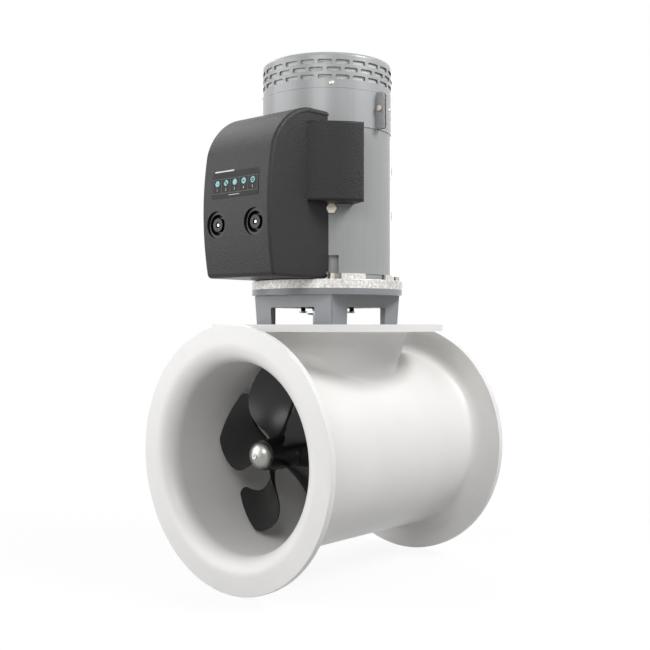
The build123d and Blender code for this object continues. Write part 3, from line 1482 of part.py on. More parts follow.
# A cable gland sits in each hole of the front panel: a flanged cup with a boss in its middle.
gland_back_x = gland_front_x - gland_depth
with BuildPart() as cable_gland:
    with BuildSketch(Plane.XY):
        Circle(gland_r)
        Circle(gland_hole_r, mode=Mode.SUBTRACT)
    extrude(amount=gland_depth)
    with BuildSketch(Plane.XY.offset(gland_depth - gland_groove_depth)):
        Circle(gland_groove_r)
        Circle(gland_boss_r, mode=Mode.SUBTRACT)
    extrude(amount=gland_groove_depth, mode=Mode.SUBTRACT)
    with BuildSketch(Plane.XY):
        Circle(gland_lip_r)
        Circle(gland_r - 1, mode=Mode.SUBTRACT)
    extrude(amount=gland_flange_thickness)

with BuildPart() as cable_glands:
    for side in (-1, 1):
        with Locations(Location((-gland_back_x, side * gland_spacing / 2, gland_z), facing_front)):
            add(cable_gland.part)
write(cable_glands, "cable_glands")

# The back plate carries the electrical parts and stands on two blocks that fit the yoke.
back_plate_front_x = back_plate_x + back_plate_thickness
with BuildPart() as back_plate:
    with BuildSketch(Plane.YZ.offset(-back_plate_front_x)):
        with Locations((0, (back_plate_low_z + back_plate_high_z) / 2)):
            Rectangle(2 * back_plate_half_width, back_plate_high_z - back_plate_low_z)
    extrude(amount=back_plate_thickness)
    with BuildSketch(Plane.YZ.offset(-back_plate_x)):
        for height in saddle_block_heights:
            with Locations((0, height)):
                Rectangle(2 * saddle_block_half_width, saddle_block_height)
    extrude(amount=20)
    with BuildSketch(Plane.XY.offset(back_plate_low_z)):
        Circle(motor_r + seat_gap)
    extrude(amount=back_plate_high_z - back_plate_low_z, mode=Mode.SUBTRACT)
write(back_plate, "back_plate")

contactor_front_x = back_plate_front_x + contactor_depth
post_z = bus_bar_high_z - 10
with BuildPart() as contactors:
    for side in (-1, 1):
        with BuildSketch(Plane.YZ.offset(-contactor_front_x)):
            with Locations((side * contactor_offset, contactor_low_z + contactor_height / 2)):
                RectangleRounded(contactor_width, contactor_height, contactor_edge_r)
        extrude(amount=contactor_depth)
        with BuildSketch(Plane.YZ.offset(-contactor_front_x)):
            with Locations((side * gland_spacing / 2, post_z)):
                Circle(contactor_post_r)
        extrude(amount=-contactor_post_height)
write(contactors, "contactors")

bus_bar_middle_z = (bus_bar_low_z + bus_bar_high_z) / 2
bus_bar_back_x = contactor_front_x + seat_gap
with BuildPart() as bus_bars:
    with BuildSketch(Plane.YZ.offset(-bus_bar_back_x)):
        for side in (-1, 1):
            with Locations((side * gland_spacing / 2, bus_bar_middle_z)):
                Rectangle(bus_bar_width, bus_bar_high_z - bus_bar_low_z)
            with Locations((side * gland_spacing / 2, post_z), (side * gland_spacing / 2, gland_z)):
                Circle(terminal_r + seat_gap, mode=Mode.SUBTRACT)
    extrude(amount=-bus_bar_thickness)
write(bus_bars, "bus_bars")

# A stud stands behind each gland. Its nuts clamp the bus bar, and its thin tip ends in the gland's mouth.
with BuildPart() as terminal_studs:
    for side in (-1, 1):
        for start_x, end_x, radius in (
            (back_plate_front_x, gland_back_x - 1, terminal_r),
            (gland_back_x - 1, terminal_tip_x, terminal_tip_r),
        ):
            with BuildSketch(Plane.YZ.offset(-start_x)):
                with Locations((side * gland_spacing / 2, gland_z)):
                    Circle(radius)
            extrude(amount=start_x - end_x)
        for nut_x in (bus_bar_back_x, bus_bar_back_x + bus_bar_thickness + terminal_nut_height):
            with BuildSketch(Plane.YZ.offset(-nut_x)):
                with Locations((side * gland_spacing / 2, gland_z)):
                    RegularPolygon(terminal_nut_r, 6)
            extrude(amount=terminal_nut_height)
write(terminal_studs, "terminal_studs")

with BuildPart() as control_board:
    board_back_x = back_plate_front_x + board_gap
    board_middle_z = board_low_z + board_height / 2
    with BuildSketch(Plane.YZ.offset(-board_back_x)):
        with Locations((0, board_middle_z)):
            Rectangle(board_width, board_height)
    extrude(amount=-board_thickness)
    with BuildSketch(Plane.YZ.offset(-board_back_x - board_thickness)):
        with Locations((-board_width / 4, board_middle_z), (board_width / 4, board_middle_z)):
            Rectangle(board_chip, board_chip)
        with Locations((0, board_middle_z - board_chip / 2)):
            Rectangle(board_chip / 2, board_chip)
    extrude(amount=-board_chip / 4)
    with BuildSketch(Plane.YZ.offset(-board_back_x)):
        with Locations((0, board_middle_z)):
            with GridLocations(board_width - 10, board_height - 10, 2, 2):
                Circle(2.5)
    extrude(amount=board_gap)
write(control_board, "control_board")

# The main fuse stands in the pod on its own base, which touches the yoke with two feet.
fuse_middle_z = fuse_low_z + fuse_length / 2
fuse_base_r = motor_r + pole_screw_head_height + 0.5
with BuildPart() as main_fuse:
    with BuildSketch(radial_plane(fuse_base_r, fuse_angle, fuse_middle_z)):
        Rectangle(fuse_block, fuse_length)
    extrude(amount=4)
    with BuildSketch(radial_plane(motor_r - 2, fuse_angle, fuse_middle_z)):
        with GridLocations(0, fuse_length - 6, 1, 2):
            Rectangle(fuse_block, 6)
    extrude(amount=fuse_r - motor_r + 2)
    with BuildSketch(Plane.XY.offset(fuse_low_z)):
        Circle(motor_r + seat_gap)
    extrude(amount=fuse_length, mode=Mode.SUBTRACT)
    with BuildSketch(Plane.XY.offset(fuse_low_z)):
        with Locations(at_angle(fuse_r, fuse_angle)[:2]):
            Circle(0.4 * fuse_block)
    extrude(amount=fuse_length)
write(main_fuse, "main_fuse")
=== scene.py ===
import math
import bpy
import mathutils
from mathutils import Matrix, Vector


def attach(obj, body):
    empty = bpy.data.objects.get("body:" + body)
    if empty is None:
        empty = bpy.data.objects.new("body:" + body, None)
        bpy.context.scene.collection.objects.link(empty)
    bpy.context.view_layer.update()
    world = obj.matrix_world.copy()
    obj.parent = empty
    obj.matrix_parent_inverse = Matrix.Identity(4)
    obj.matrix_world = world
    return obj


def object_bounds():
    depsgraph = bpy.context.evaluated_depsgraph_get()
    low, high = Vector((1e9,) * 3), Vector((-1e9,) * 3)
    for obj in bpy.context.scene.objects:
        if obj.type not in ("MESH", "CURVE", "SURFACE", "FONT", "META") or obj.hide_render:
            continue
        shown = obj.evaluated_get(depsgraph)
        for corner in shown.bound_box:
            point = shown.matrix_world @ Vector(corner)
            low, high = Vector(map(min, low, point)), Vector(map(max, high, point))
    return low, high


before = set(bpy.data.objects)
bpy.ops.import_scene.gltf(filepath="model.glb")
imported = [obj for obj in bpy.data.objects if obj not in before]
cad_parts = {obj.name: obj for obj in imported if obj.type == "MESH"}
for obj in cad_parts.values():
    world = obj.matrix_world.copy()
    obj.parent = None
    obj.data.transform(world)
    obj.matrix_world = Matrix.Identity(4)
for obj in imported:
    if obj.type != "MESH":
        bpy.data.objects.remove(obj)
solid_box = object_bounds()

# Tunnel. The real piece is one glass-fibre moulding with white gelcoat, laid up on a polished form and
# trimmed flat at its end rings. Gelcoat gives a clean white with a soft gloss, clouded in patches of about
# 70 mm, and the form leaves a faint waviness of about 11 mm.


def linear(hex_colour):
    """A colour written as an sRGB hex value, as the linear values that the shaders take."""
    parts = [int(hex_colour[start:start + 2], 16) / 255 for start in (1, 3, 5)]
    values = [part / 12.92 if part <= 0.04045 else ((part + 0.055) / 1.055) ** 2.4 for part in parts]
    return (*values, 1.0)


def add_node(owner, kind, inputs, **settings):
    """Adds a node to a finish or the world. In inputs, a node's output is linked and a value is set."""
    node = owner.node_tree.nodes.new(kind)
    for setting, value in settings.items():
        setattr(node, setting, value)
    for socket, value in inputs.items():
        if isinstance(value, bpy.types.NodeSocket):
            owner.node_tree.links.new(value, node.inputs[socket])
        else:
            node.inputs[socket].default_value = value
    return node


def new_finish(name):
    """An empty node material, whose shader is added by the piece that it is for."""
    finish = bpy.data.materials.new(name)
    finish.use_nodes = True
    finish.node_tree.nodes.clear()
    return finish


def finish_shader(finish, inputs):
    """Adds the finish's own shader and joins it to its output."""
    shader = add_node(finish, "ShaderNodeBsdfPrincipled", inputs)
    add_node(finish, "ShaderNodeOutputMaterial", {"Surface": shader.outputs["BSDF"]})


def dress(finish, *nodes):
    """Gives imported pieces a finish."""
    for name in nodes:
        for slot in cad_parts[name].material_slots:
            slot.material = finish


gelcoat = new_finish("white_gelcoat")
place = add_node(gelcoat, "ShaderNodeTexCoord", {}).outputs["Object"]
cloudiness = add_node(gelcoat, "ShaderNodeTexNoise", {"Vector": place, "Scale": 14.0, "Detail": 3.0})
tint = add_node(gelcoat, "ShaderNodeMix", {
    0: cloudiness.outputs["Fac"], 6: linear("#E0DFDD"), 7: linear("#E8E7E5")}, data_type="RGBA")
waviness = add_node(gelcoat, "ShaderNodeTexNoise", {"Vector": place, "Scale": 90.0, "Detail": 2.0})
form_marks = add_node(gelcoat, "ShaderNodeBump", {
    "Height": waviness.outputs["Fac"], "Strength": 0.12, "Distance": 0.0004})
finish_shader(gelcoat, {
    "Base Color": tint.outputs[2], "Roughness": 0.42, "IOR": 1.5, "Coat Weight": 0.15, "Coat Roughness": 0.3,
    "Normal": form_marks.outputs["Normal"]})
dress(gelcoat, "tunnel")

# Gear leg and its nose caps. They are aluminium castings, blasted and painted black with epoxy, so the
# surface is dark and satin. The grain of the casting shows under the paint, drawn at about 1.4 mm, and the
# paint is a little paler in patches of about 25 mm.
leg_paint = new_finish("black_epoxy_on_casting")
place = add_node(leg_paint, "ShaderNodeTexCoord", {}).outputs["Object"]
sand_grain = add_node(leg_paint, "ShaderNodeTexNoise", {"Vector": place, "Scale": 700.0, "Detail": 4.0})
thin_spots = add_node(leg_paint, "ShaderNodeTexNoise", {"Vector": place, "Scale": 40.0, "Detail": 3.0})
tint = add_node(leg_paint, "ShaderNodeMix", {
    0: thin_spots.outputs["Fac"], 6: linear("#131314"), 7: linear("#242427")}, data_type="RGBA")
cast_surface = add_node(leg_paint, "ShaderNodeBump", {
    "Height": sand_grain.outputs["Fac"], "Strength": 0.25, "Distance": 0.0003})
finish_shader(leg_paint, {
    "Base Color": tint.outputs[2], "Roughness": 0.42, "IOR": 1.5, "Normal": cast_surface.outputs["Normal"]})
dress(leg_paint, "gear_leg", "leg_caps")

# Cap screws. They are aluminium bronze, which stands up to sea water, turned and left bare. That gives a
# dull brown metal, tarnished in spots of about 3 mm.
bronze = new_finish("aluminium_bronze_turned")
place = add_node(bronze, "ShaderNodeTexCoord", {}).outputs["Object"]
tarnish = add_node(bronze, "ShaderNodeTexNoise", {"Vector": place, "Scale": 350.0, "Detail": 4.0})
tint = add_node(bronze, "ShaderNodeMix", {
    0: tarnish.outputs["Fac"], 6: linear("#6B4A2C"), 7: linear("#A88357")}, data_type="RGBA")
finish_shader(bronze, {"Base Color": tint.outputs[2], "Metallic": 1.0, "Roughness": 0.45})
dress(bronze, "cap_screws")

# Gasket, seals and coupling bushes. All are moulded black nitrile rubber. The surface is matt and slightly
# dusty, in specks of about 4 mm.
rubber = new_finish("nitrile_rubber_moulded")
place = add_node(rubber, "ShaderNodeTexCoord", {}).outputs["Object"]
dust = add_node(rubber, "ShaderNodeTexNoise", {"Vector": place, "Scale": 260.0, "Detail": 5.0})
tint = add_node(rubber, "ShaderNodeMix", {
    0: dust.outputs["Fac"], 6: linear("#0E0E0E"), 7: linear("#1F1F1E")}, data_type="RGBA")
rubber_skin = add_node(rubber, "ShaderNodeBump", {
    "Height": dust.outputs["Fac"], "Strength": 0.2, "Distance": 0.0002})
finish_shader(rubber, {
    "Base Color": tint.outputs[2], "Roughness": 0.72, "Specular IOR Level": 0.35,
    "Normal": rubber_skin.outputs["Normal"]})
dress(rubber, "leg_gasket", "leg_shaft_seal", "prop_seals", "coupling_bushes")

# Shafts, gears, bearings, coupling halves, drive pins and brush springs. They are steel, mostly ground or
# turned, under a film of oil, so bright, with the tool's fine lines across the motor's axis. The real lines
# are about 0.2 mm apart and are drawn at 1 mm so that they show. The oil lies in patches of about 17 mm.
ground_steel = new_finish("ground_steel_oiled")
place = add_node(ground_steel, "ShaderNodeTexCoord", {}).outputs["Object"]
tool_lines = add_node(ground_steel, "ShaderNodeTexWave", {
    "Vector": place, "Scale": 320.0, "Distortion": 1.5, "Detail": 2.0, "Detail Scale": 3.0
}, wave_type="BANDS", bands_direction="Z")
oil_film = add_node(ground_steel, "ShaderNodeTexNoise", {"Vector": place, "Scale": 60.0, "Detail": 3.0})
tint = add_node(ground_steel, "ShaderNodeMix", {
    0: oil_film.outputs["Fac"], 6: linear("#8C8D8F"), 7: linear("#C2C3C4")}, data_type="RGBA")
shine = add_node(ground_steel, "ShaderNodeMapRange", {
    "Value": tool_lines.outputs["Fac"], "To Min": 0.24, "To Max": 0.38})
finish_shader(ground_steel, {
    "Base Color": tint.outputs[2], "Metallic": 1.0, "Roughness": shine.outputs["Result"]})
dress(
    ground_steel, "armature_shaft", "pinion_shaft", "coupling_upper", "coupling_lower", "leg_bearings",
    "motor_bearings", "prop_bearings", "front_bevel_wheel", "rear_bevel_wheel", "front_prop_shaft",
    "rear_prop_shaft", "front_drive_pin", "rear_drive_pin", "brush_springs")

# Propellers. Each is one moulding of glass-filled nylon, black all through, from a polished tool. The
# blades have a satin shine with flow marks of about 40 mm, and a faint grain from the fibres, drawn at
# 2.4 mm so that it shows.
nylon = new_finish("black_glass_filled_nylon")
place = add_node(nylon, "ShaderNodeTexCoord", {}).outputs["Object"]
fibres = add_node(nylon, "ShaderNodeTexNoise", {"Vector": place, "Scale": 420.0, "Detail": 3.0})
flow_marks = add_node(nylon, "ShaderNodeTexNoise", {"Vector": place, "Scale": 26.0, "Detail": 2.0})
tint = add_node(nylon, "ShaderNodeMix", {
    0: flow_marks.outputs["Fac"], 6: linear("#0D0D0D"), 7: linear("#141414")}, data_type="RGBA")
shine = add_node(nylon, "ShaderNodeMapRange", {
    "Value": flow_marks.outputs["Fac"], "To Min": 0.26, "To Max": 0.34})
fibre_grain = add_node(nylon, "ShaderNodeBump", {
    "Height": fibres.outputs["Fac"], "Strength": 0.08, "Distance": 0.0002})
finish_shader(nylon, {
    "Base Color": tint.outputs[2], "Roughness": shine.outputs["Result"], "IOR": 1.5,
    "Specular IOR Level": 0.38, "Normal": fibre_grain.outputs["Normal"]})
dress(nylon, "front_propeller", "rear_propeller")

# Anodes. A zinc dome on each hub wastes away in place of the other metals. It is cast and turned, so it is
# bright with rings around the shaft's axis, 1.2 mm apart here so that they show, and has a light bloom of
# oxide in patches of about 8 mm.
zinc = new_finish("zinc_turned")
place = add_node(zinc, "ShaderNodeTexCoord", {}).outputs["Object"]
rings = add_node(zinc, "ShaderNodeTexWave", {
    "Vector": place, "Scale": 260.0, "Distortion": 0.6, "Detail": 1.0
}, wave_type="RINGS", rings_direction="X")
bloom = add_node(zinc, "ShaderNodeTexNoise", {"Vector": place, "Scale": 120.0, "Detail": 5.0})
tint = add_node(zinc, "ShaderNodeMix", {
    0: bloom.outputs["Fac"], 6: linear("#7E7E7C"), 7: linear("#A9A8A4")}, data_type="RGBA")
shine = add_node(zinc, "ShaderNodeMapRange", {
    "Value": bloom.outputs["Fac"], "To Min": 0.26, "To Max": 0.34})
turning = add_node(zinc, "ShaderNodeBump", {
    "Height": rings.outputs["Fac"], "Strength": 0.06, "Distance": 0.0002})
finish_shader(zinc, {
    "Base Color": tint.outputs[2], "Metallic": 1.0, "Roughness": shine.outputs["Result"],
    "Normal": turning.outputs["Normal"]})
dress(zinc, "front_anode", "rear_anode")

# Anode screws. They are stainless steel socket screws, cold formed and tumbled, so they are brighter and
# whiter than the zinc. The tumbling's scuffs are drawn at 2 mm so that they show.
stainless = new_finish("stainless_tumbled")
place = add_node(stainless, "ShaderNodeTexCoord", {}).outputs["Object"]
scuffs = add_node(stainless, "ShaderNodeTexNoise", {"Vector": place, "Scale": 500.0, "Detail": 4.0})
shine = add_node(stainless, "ShaderNodeMapRange", {
    "Value": scuffs.outputs["Fac"], "To Min": 0.18, "To Max": 0.34})
finish_shader(stainless, {
    "Base Color": linear("#D0D0CE"), "Metallic": 1.0, "Roughness": shine.outputs["Result"]})
dress(stainless, "front_anode_screw", "rear_anode_screw")

# Motor bracket. It is a cast iron skirt with a blue-grey powder coat. The coat is satin with a fine orange
# peel of about 2 mm, and varies a little in shade over patches of about 33 mm.
powder_coat = new_finish("blue_grey_powder_coat")
place = add_node(powder_coat, "ShaderNodeTexCoord", {}).outputs["Object"]
orange_peel = add_node(powder_coat, "ShaderNodeTexNoise", {"Vector": place, "Scale": 480.0, "Detail": 2.0})
coat_depth = add_node(powder_coat, "ShaderNodeTexNoise", {"Vector": place, "Scale": 30.0, "Detail": 3.0})
tint = add_node(powder_coat, "ShaderNodeMix", {
    0: coat_depth.outputs["Fac"], 6: linear("#777A7E"), 7: linear("#84878B")}, data_type="RGBA")
peel = add_node(powder_coat, "ShaderNodeBump", {
    "Height": orange_peel.outputs["Fac"], "Strength": 0.15, "Distance": 0.0002})
finish_shader(powder_coat, {
    "Base Color": tint.outputs[2], "Roughness": 0.32, "IOR": 1.5, "Normal": peel.outputs["Normal"]})
dress(powder_coat, "motor_bracket")

# Drive end plate. It is bare sand-cast aluminium with a pale mottled skin, in blotches of about 4 mm. The
# ring that the yoke stands on and all within it are turned, so they are even and darker, without the rough
# skin.
plate_alloy = new_finish("sand_cast_aluminium")
turned_r = 0.1075
turned_edge = 0.001
place = add_node(plate_alloy, "ShaderNodeTexCoord", {}).outputs["Object"]
blotches = add_node(plate_alloy, "ShaderNodeTexNoise", {
    "Vector": place, "Scale": 260.0, "Detail": 4.0, "Roughness": 0.6})
mottle = add_node(plate_alloy, "ShaderNodeMapRange", {
    "Value": blotches.outputs["Fac"], "From Min": 0.35, "From Max": 0.65})
cast_tint = add_node(plate_alloy, "ShaderNodeMix", {
    0: mottle.outputs["Result"], 6: linear("#B4B2AE"), 7: linear("#E2E0DD")}, data_type="RGBA")
flattened = add_node(plate_alloy, "ShaderNodeMapping", {"Vector": place, "Scale": (1.0, 1.0, 0.0)})
from_axis = add_node(
    plate_alloy, "ShaderNodeVectorMath", {0: flattened.outputs["Vector"]}, operation="LENGTH")
as_cast = add_node(plate_alloy, "ShaderNodeMapRange", {
    "Value": from_axis.outputs["Value"], "From Min": turned_r, "From Max": turned_r + turned_edge})
tint = add_node(plate_alloy, "ShaderNodeMix", {
    0: as_cast.outputs["Result"], 6: linear("#8F9190"), 7: cast_tint.outputs[2]}, data_type="RGBA")
skin_depth = add_node(plate_alloy, "ShaderNodeMath", {
    0: blotches.outputs["Fac"], 1: as_cast.outputs["Result"]}, operation="MULTIPLY")
skin = add_node(plate_alloy, "ShaderNodeBump", {
    "Height": skin_depth.outputs["Value"], "Strength": 0.25, "Distance": 0.0005})
finish_shader(plate_alloy, {
    "Base Color": tint.outputs[2], "Metallic": 0.6, "Roughness": 0.5, "Normal": skin.outputs["Normal"]})
dress(plate_alloy, "drive_end_plate")

# End shield, clamp plate, fan and back plate. They are aluminium too, but die cast or cut from sheet.
# Their thin grey skin is darker than the end plate's and has no blotches, only soft patches of about 9 mm.
thin_alloy = new_finish("die_cast_aluminium")
place = add_node(thin_alloy, "ShaderNodeTexCoord", {}).outputs["Object"]
flow_skin = add_node(thin_alloy, "ShaderNodeTexNoise", {"Vector": place, "Scale": 110.0, "Detail": 4.0})
tint = add_node(thin_alloy, "ShaderNodeMix", {
    0: flow_skin.outputs["Fac"], 6: linear("#9A9B9A"), 7: linear("#C9C9C6")}, data_type="RGBA")
shine = add_node(thin_alloy, "ShaderNodeMapRange", {
    "Value": flow_skin.outputs["Fac"], "To Min": 0.5, "To Max": 0.38})
finish_shader(thin_alloy, {
    "Base Color": tint.outputs[2], "Metallic": 0.85, "Roughness": shine.outputs["Result"]})
dress(thin_alloy, "upper_end_shield", "leg_clamp_plate", "cooling_fan", "back_plate")

# Motor yoke, brush band and vent cover. The yoke is rolled steel tube, the band and cover are pressed sheet,
# and all are sprayed in satin light grey enamel. The band and cover get a paler shade of it as painted
# light, for the stronger light on the motor's top. It shows a faint grain along the tube, in streaks about 8
# mm wide, and the spray's own texture of about 2 mm.


def grey_enamel(name, thin_colour, full_colour):
    """Sprayed enamel, whose two shades lie in streaks along the rolled metal under it."""
    enamel = new_finish(name)
    place = add_node(enamel, "ShaderNodeTexCoord", {}).outputs["Object"]
    along_tube = add_node(enamel, "ShaderNodeMapping", {"Vector": place, "Scale": (1.0, 1.0, 0.06)})
    rolling_grain = add_node(enamel, "ShaderNodeTexNoise", {
        "Vector": along_tube.outputs["Vector"], "Scale": 130.0, "Detail": 3.0})
    tint = add_node(enamel, "ShaderNodeMix", {
        0: rolling_grain.outputs["Fac"], 6: linear(thin_colour), 7: linear(full_colour)}, data_type="RGBA")
    spray = add_node(enamel, "ShaderNodeTexNoise", {"Vector": place, "Scale": 520.0, "Detail": 2.0})
    spray_texture = add_node(enamel, "ShaderNodeBump", {
        "Height": spray.outputs["Fac"], "Strength": 0.06, "Distance": 0.0002})
    finish_shader(enamel, {
        "Base Color": tint.outputs[2], "Roughness": 0.3, "IOR": 1.5,
        "Normal": spray_texture.outputs["Normal"]})
    return enamel


dress(grey_enamel("light_grey_enamel_on_tube", "#8F9191", "#989A9A"), "motor_yoke")
# The band and cover's paler enamel is painted light, standing for the brighter light on the top of the
# motor.
dress(grey_enamel("light_grey_enamel_painted_paler_for_top_light", "#989A9B", "#A1A3A4"), "brush_band", "vent_cover")

# Vent screen. It is gauze of 0.3 mm stainless wire, rolled to a sleeve. One set of wires is drawn level,
# 2 mm apart, and the other slanting, a little wider, so that they show as a fine pale weave behind the
# slots.
gauze = new_finish("stainless_wire_gauze")
place = add_node(gauze, "ShaderNodeTexCoord", {}).outputs["Object"]
level_wires = add_node(
    gauze, "ShaderNodeTexWave", {"Vector": place, "Scale": 160.0}, wave_type="BANDS", bands_direction="Z")
slanting_wires = add_node(
    gauze, "ShaderNodeTexWave", {"Vector": place, "Scale": 160.0}, wave_type="BANDS",
    bands_direction="DIAGONAL")
weave = add_node(gauze, "ShaderNodeMath", {
    0: level_wires.outputs["Fac"], 1: slanting_wires.outputs["Fac"]}, operation="MAXIMUM")
tint = add_node(gauze, "ShaderNodeMix", {
    0: weave.outputs["Value"], 6: linear("#7C7E7E"), 7: linear("#BFC1C0")}, data_type="RGBA")
woven = add_node(gauze, "ShaderNodeBump", {
    "Height": weave.outputs["Value"], "Strength": 0.3, "Distance": 0.0003})
finish_shader(gauze, {
    "Base Color": tint.outputs[2], "Metallic": 0.2, "Roughness": 0.6, "Normal": woven.outputs["Normal"]})
dress(gauze, "vent_screen")

# Bolts, screws, studs and coupling pins. They are steel with yellow zinc plating, so a pale gold, and
# shade and shine vary a little with the depth of the plating, in patches of about 6 mm.
zinc_plate = new_finish("yellow_zinc_plated_steel")
place = add_node(zinc_plate, "ShaderNodeTexCoord", {}).outputs["Object"]
plating = add_node(zinc_plate, "ShaderNodeTexNoise", {"Vector": place, "Scale": 180.0, "Detail": 3.0})
tint = add_node(zinc_plate, "ShaderNodeMix", {
    0: plating.outputs["Fac"], 6: linear("#A39A8F"), 7: linear("#D9D1C6")}, data_type="RGBA")
shine = add_node(zinc_plate, "ShaderNodeMapRange", {
    "Value": plating.outputs["Fac"], "To Min": 0.28, "To Max": 0.45})
finish_shader(zinc_plate, {
    "Base Color": tint.outputs[2], "Metallic": 1.0, "Roughness": shine.outputs["Result"]})
dress(
    zinc_plate, "clamp_plate_screws", "bracket_bolts", "end_plate_bolts", "pole_screws", "band_bolts",
    "vent_cover_screws", "terminal_studs", "coupling_pins")

# Armature core and pole shoes. They are stacks of stamped silicon steel, blued in the oven. The sheets are
# 0.5 mm thick and are drawn at 2 mm so that they show as fine dark lines across the motor's axis.
laminations = new_finish("blued_steel_laminations")
place = add_node(laminations, "ShaderNodeTexCoord", {}).outputs["Object"]
sheets = add_node(laminations, "ShaderNodeTexWave", {
    "Vector": place, "Scale": 160.0, "Distortion": 0.2
}, wave_type="BANDS", bands_direction="Z")
tint = add_node(laminations, "ShaderNodeMix", {
    0: sheets.outputs["Fac"], 6: linear("#1F2226"), 7: linear("#4E535A")}, data_type="RGBA")
sheet_edges = add_node(laminations, "ShaderNodeBump", {
    "Height": sheets.outputs["Fac"], "Strength": 0.4, "Distance": 0.0003})
finish_shader(laminations, {
    "Base Color": tint.outputs[2], "Metallic": 0.8, "Roughness": 0.5,
    "Normal": sheet_edges.outputs["Normal"]})
dress(laminations, "armature_core", "pole_shoes")

# Windings. They are copper wire with clear brown enamel, wound in layers and dipped in varnish. The turns
# lie
# 2 mm apart, with a painted highlight on top of each turn and painted shade between the turns.
wire = new_finish("enamelled_copper_wire")
place = add_node(wire, "ShaderNodeTexCoord", {}).outputs["Object"]
turns_with_painted_shade = add_node(wire, "ShaderNodeTexWave", {
    "Vector": place, "Scale": 160.0, "Distortion": 0.8, "Detail": 1.0
}, wave_type="BANDS", bands_direction="Z")
# The tint paints a highlight on top of each turn and shade in the creases between them.
tint = add_node(wire, "ShaderNodeMix", {
    0: turns_with_painted_shade.outputs["Fac"], 6: linear("#5A2A14"), 7: linear("#B9693A")}, data_type="RGBA")
wire_rows = add_node(wire, "ShaderNodeBump", {
    "Height": turns_with_painted_shade.outputs["Fac"], "Strength": 0.6, "Distance": 0.0008})
finish_shader(wire, {
    "Base Color": tint.outputs[2], "Metallic": 0.7, "Roughness": 0.35, "Coat Weight": 0.5,
    "Normal": wire_rows.outputs["Normal"]})
dress(wire, "field_coils", "armature_winding")

# Commutator and bus bars. They are bare hard-drawn copper, turned or rolled, with a brown bloom in patches
# of about 14 mm where it has been warm.
copper = new_finish("bare_copper")
place = add_node(copper, "ShaderNodeTexCoord", {}).outputs["Object"]
warmth = add_node(copper, "ShaderNodeTexNoise", {"Vector": place, "Scale": 70.0, "Detail": 4.0})
tint = add_node(copper, "ShaderNodeMix", {
    0: warmth.outputs["Fac"], 6: linear("#8A4B2C"), 7: linear("#D08A60")}, data_type="RGBA")
finish_shader(copper, {"Base Color": tint.outputs[2], "Metallic": 1.0, "Roughness": 0.32})
dress(copper, "commutator", "bus_bars")

# Brushes. They are pressed and baked carbon blocks, matt and almost black. The graphite in them shows as
# paler specks of about 1 mm.
carbon = new_finish("pressed_carbon")
place = add_node(carbon, "ShaderNodeTexCoord", {}).outputs["Object"]
graphite = add_node(carbon, "ShaderNodeTexNoise", {"Vector": place, "Scale": 900.0, "Detail": 5.0})
tint = add_node(carbon, "ShaderNodeMix", {
    0: graphite.outputs["Fac"], 6: linear("#121212"), 7: linear("#3A3A3B")}, data_type="RGBA")
finish_shader(carbon, {"Base Color": tint.outputs[2], "Metallic": 0.2, "Roughness": 0.55})
dress(carbon, "brushes")

# Brush gear. The ring and its four holders are one brass casting. Its skin is a dull yellow that changes
# shade in patches of about 5 mm.
brass = new_finish("cast_brass")
place = add_node(brass, "ShaderNodeTexCoord", {}).outputs["Object"]
casting_skin = add_node(brass, "ShaderNodeTexNoise", {"Vector": place, "Scale": 200.0, "Detail": 5.0})
tint = add_node(brass, "ShaderNodeMix", {
    0: casting_skin.outputs["Fac"], 6: linear("#8C6F35"), 7: linear("#C9A860")}, data_type="RGBA")
finish_shader(brass, {"Base Color": tint.outputs[2], "Metallic": 1.0, "Roughness": 0.42})
dress(brass, "brush_gear")

# Control cover. It is black ABS, thermoformed over a grained tool, so the skin is matt and pebbled like
# leather. The pebbles are about 2.5 mm across, with a finer grain of about 1 mm on them.
grained_abs = new_finish("black_abs_grained")
place = add_node(grained_abs, "ShaderNodeTexCoord", {}).outputs["Object"]
pebbles = add_node(
    grained_abs, "ShaderNodeTexVoronoi", {"Vector": place, "Scale": 400.0}, feature="SMOOTH_F1")
fine_grain = add_node(grained_abs, "ShaderNodeTexNoise", {"Vector": place, "Scale": 950.0, "Detail": 3.0})
grain_height = add_node(grained_abs, "ShaderNodeMath", {
    0: pebbles.outputs["Distance"], 1: fine_grain.outputs["Fac"]}, operation="ADD")
grain = add_node(grained_abs, "ShaderNodeBump", {
    "Height": grain_height.outputs["Value"], "Strength": 0.75, "Distance": 0.0006})
tint = add_node(grained_abs, "ShaderNodeMix", {
    0: pebbles.outputs["Distance"], 6: linear("#21201F"), 7: linear("#181717")}, data_type="RGBA")
finish_shader(grained_abs, {
    "Base Color": tint.outputs[2], "Roughness": 0.46, "IOR": 1.5, "Specular IOR Level": 0.3,
    "Normal": grain.outputs["Normal"]})
dress(grained_abs, "control_cover")

# Cable glands. They are injection moulded black nylon from a polished tool, so they are darker and
# glossier than the cover, with a swirl from the mould in patches of about 7 mm.
moulded_nylon = new_finish("black_nylon_moulded")
place = add_node(moulded_nylon, "ShaderNodeTexCoord", {}).outputs["Object"]
swirl = add_node(moulded_nylon, "ShaderNodeTexNoise", {"Vector": place, "Scale": 150.0, "Detail": 2.0})
shine = add_node(moulded_nylon, "ShaderNodeMapRange", {
    "Value": swirl.outputs["Fac"], "To Min": 0.22, "To Max": 0.34})
tint = add_node(moulded_nylon, "ShaderNodeMix", {
    0: swirl.outputs["Fac"], 6: linear("#080808"), 7: linear("#0E0E0E")}, data_type="RGBA")
finish_shader(moulded_nylon, {
    "Base Color": tint.outputs[2], "Roughness": shine.outputs["Result"], "IOR": 1.5,
    "Specular IOR Level": 0.25})
dress(moulded_nylon, "cable_glands")

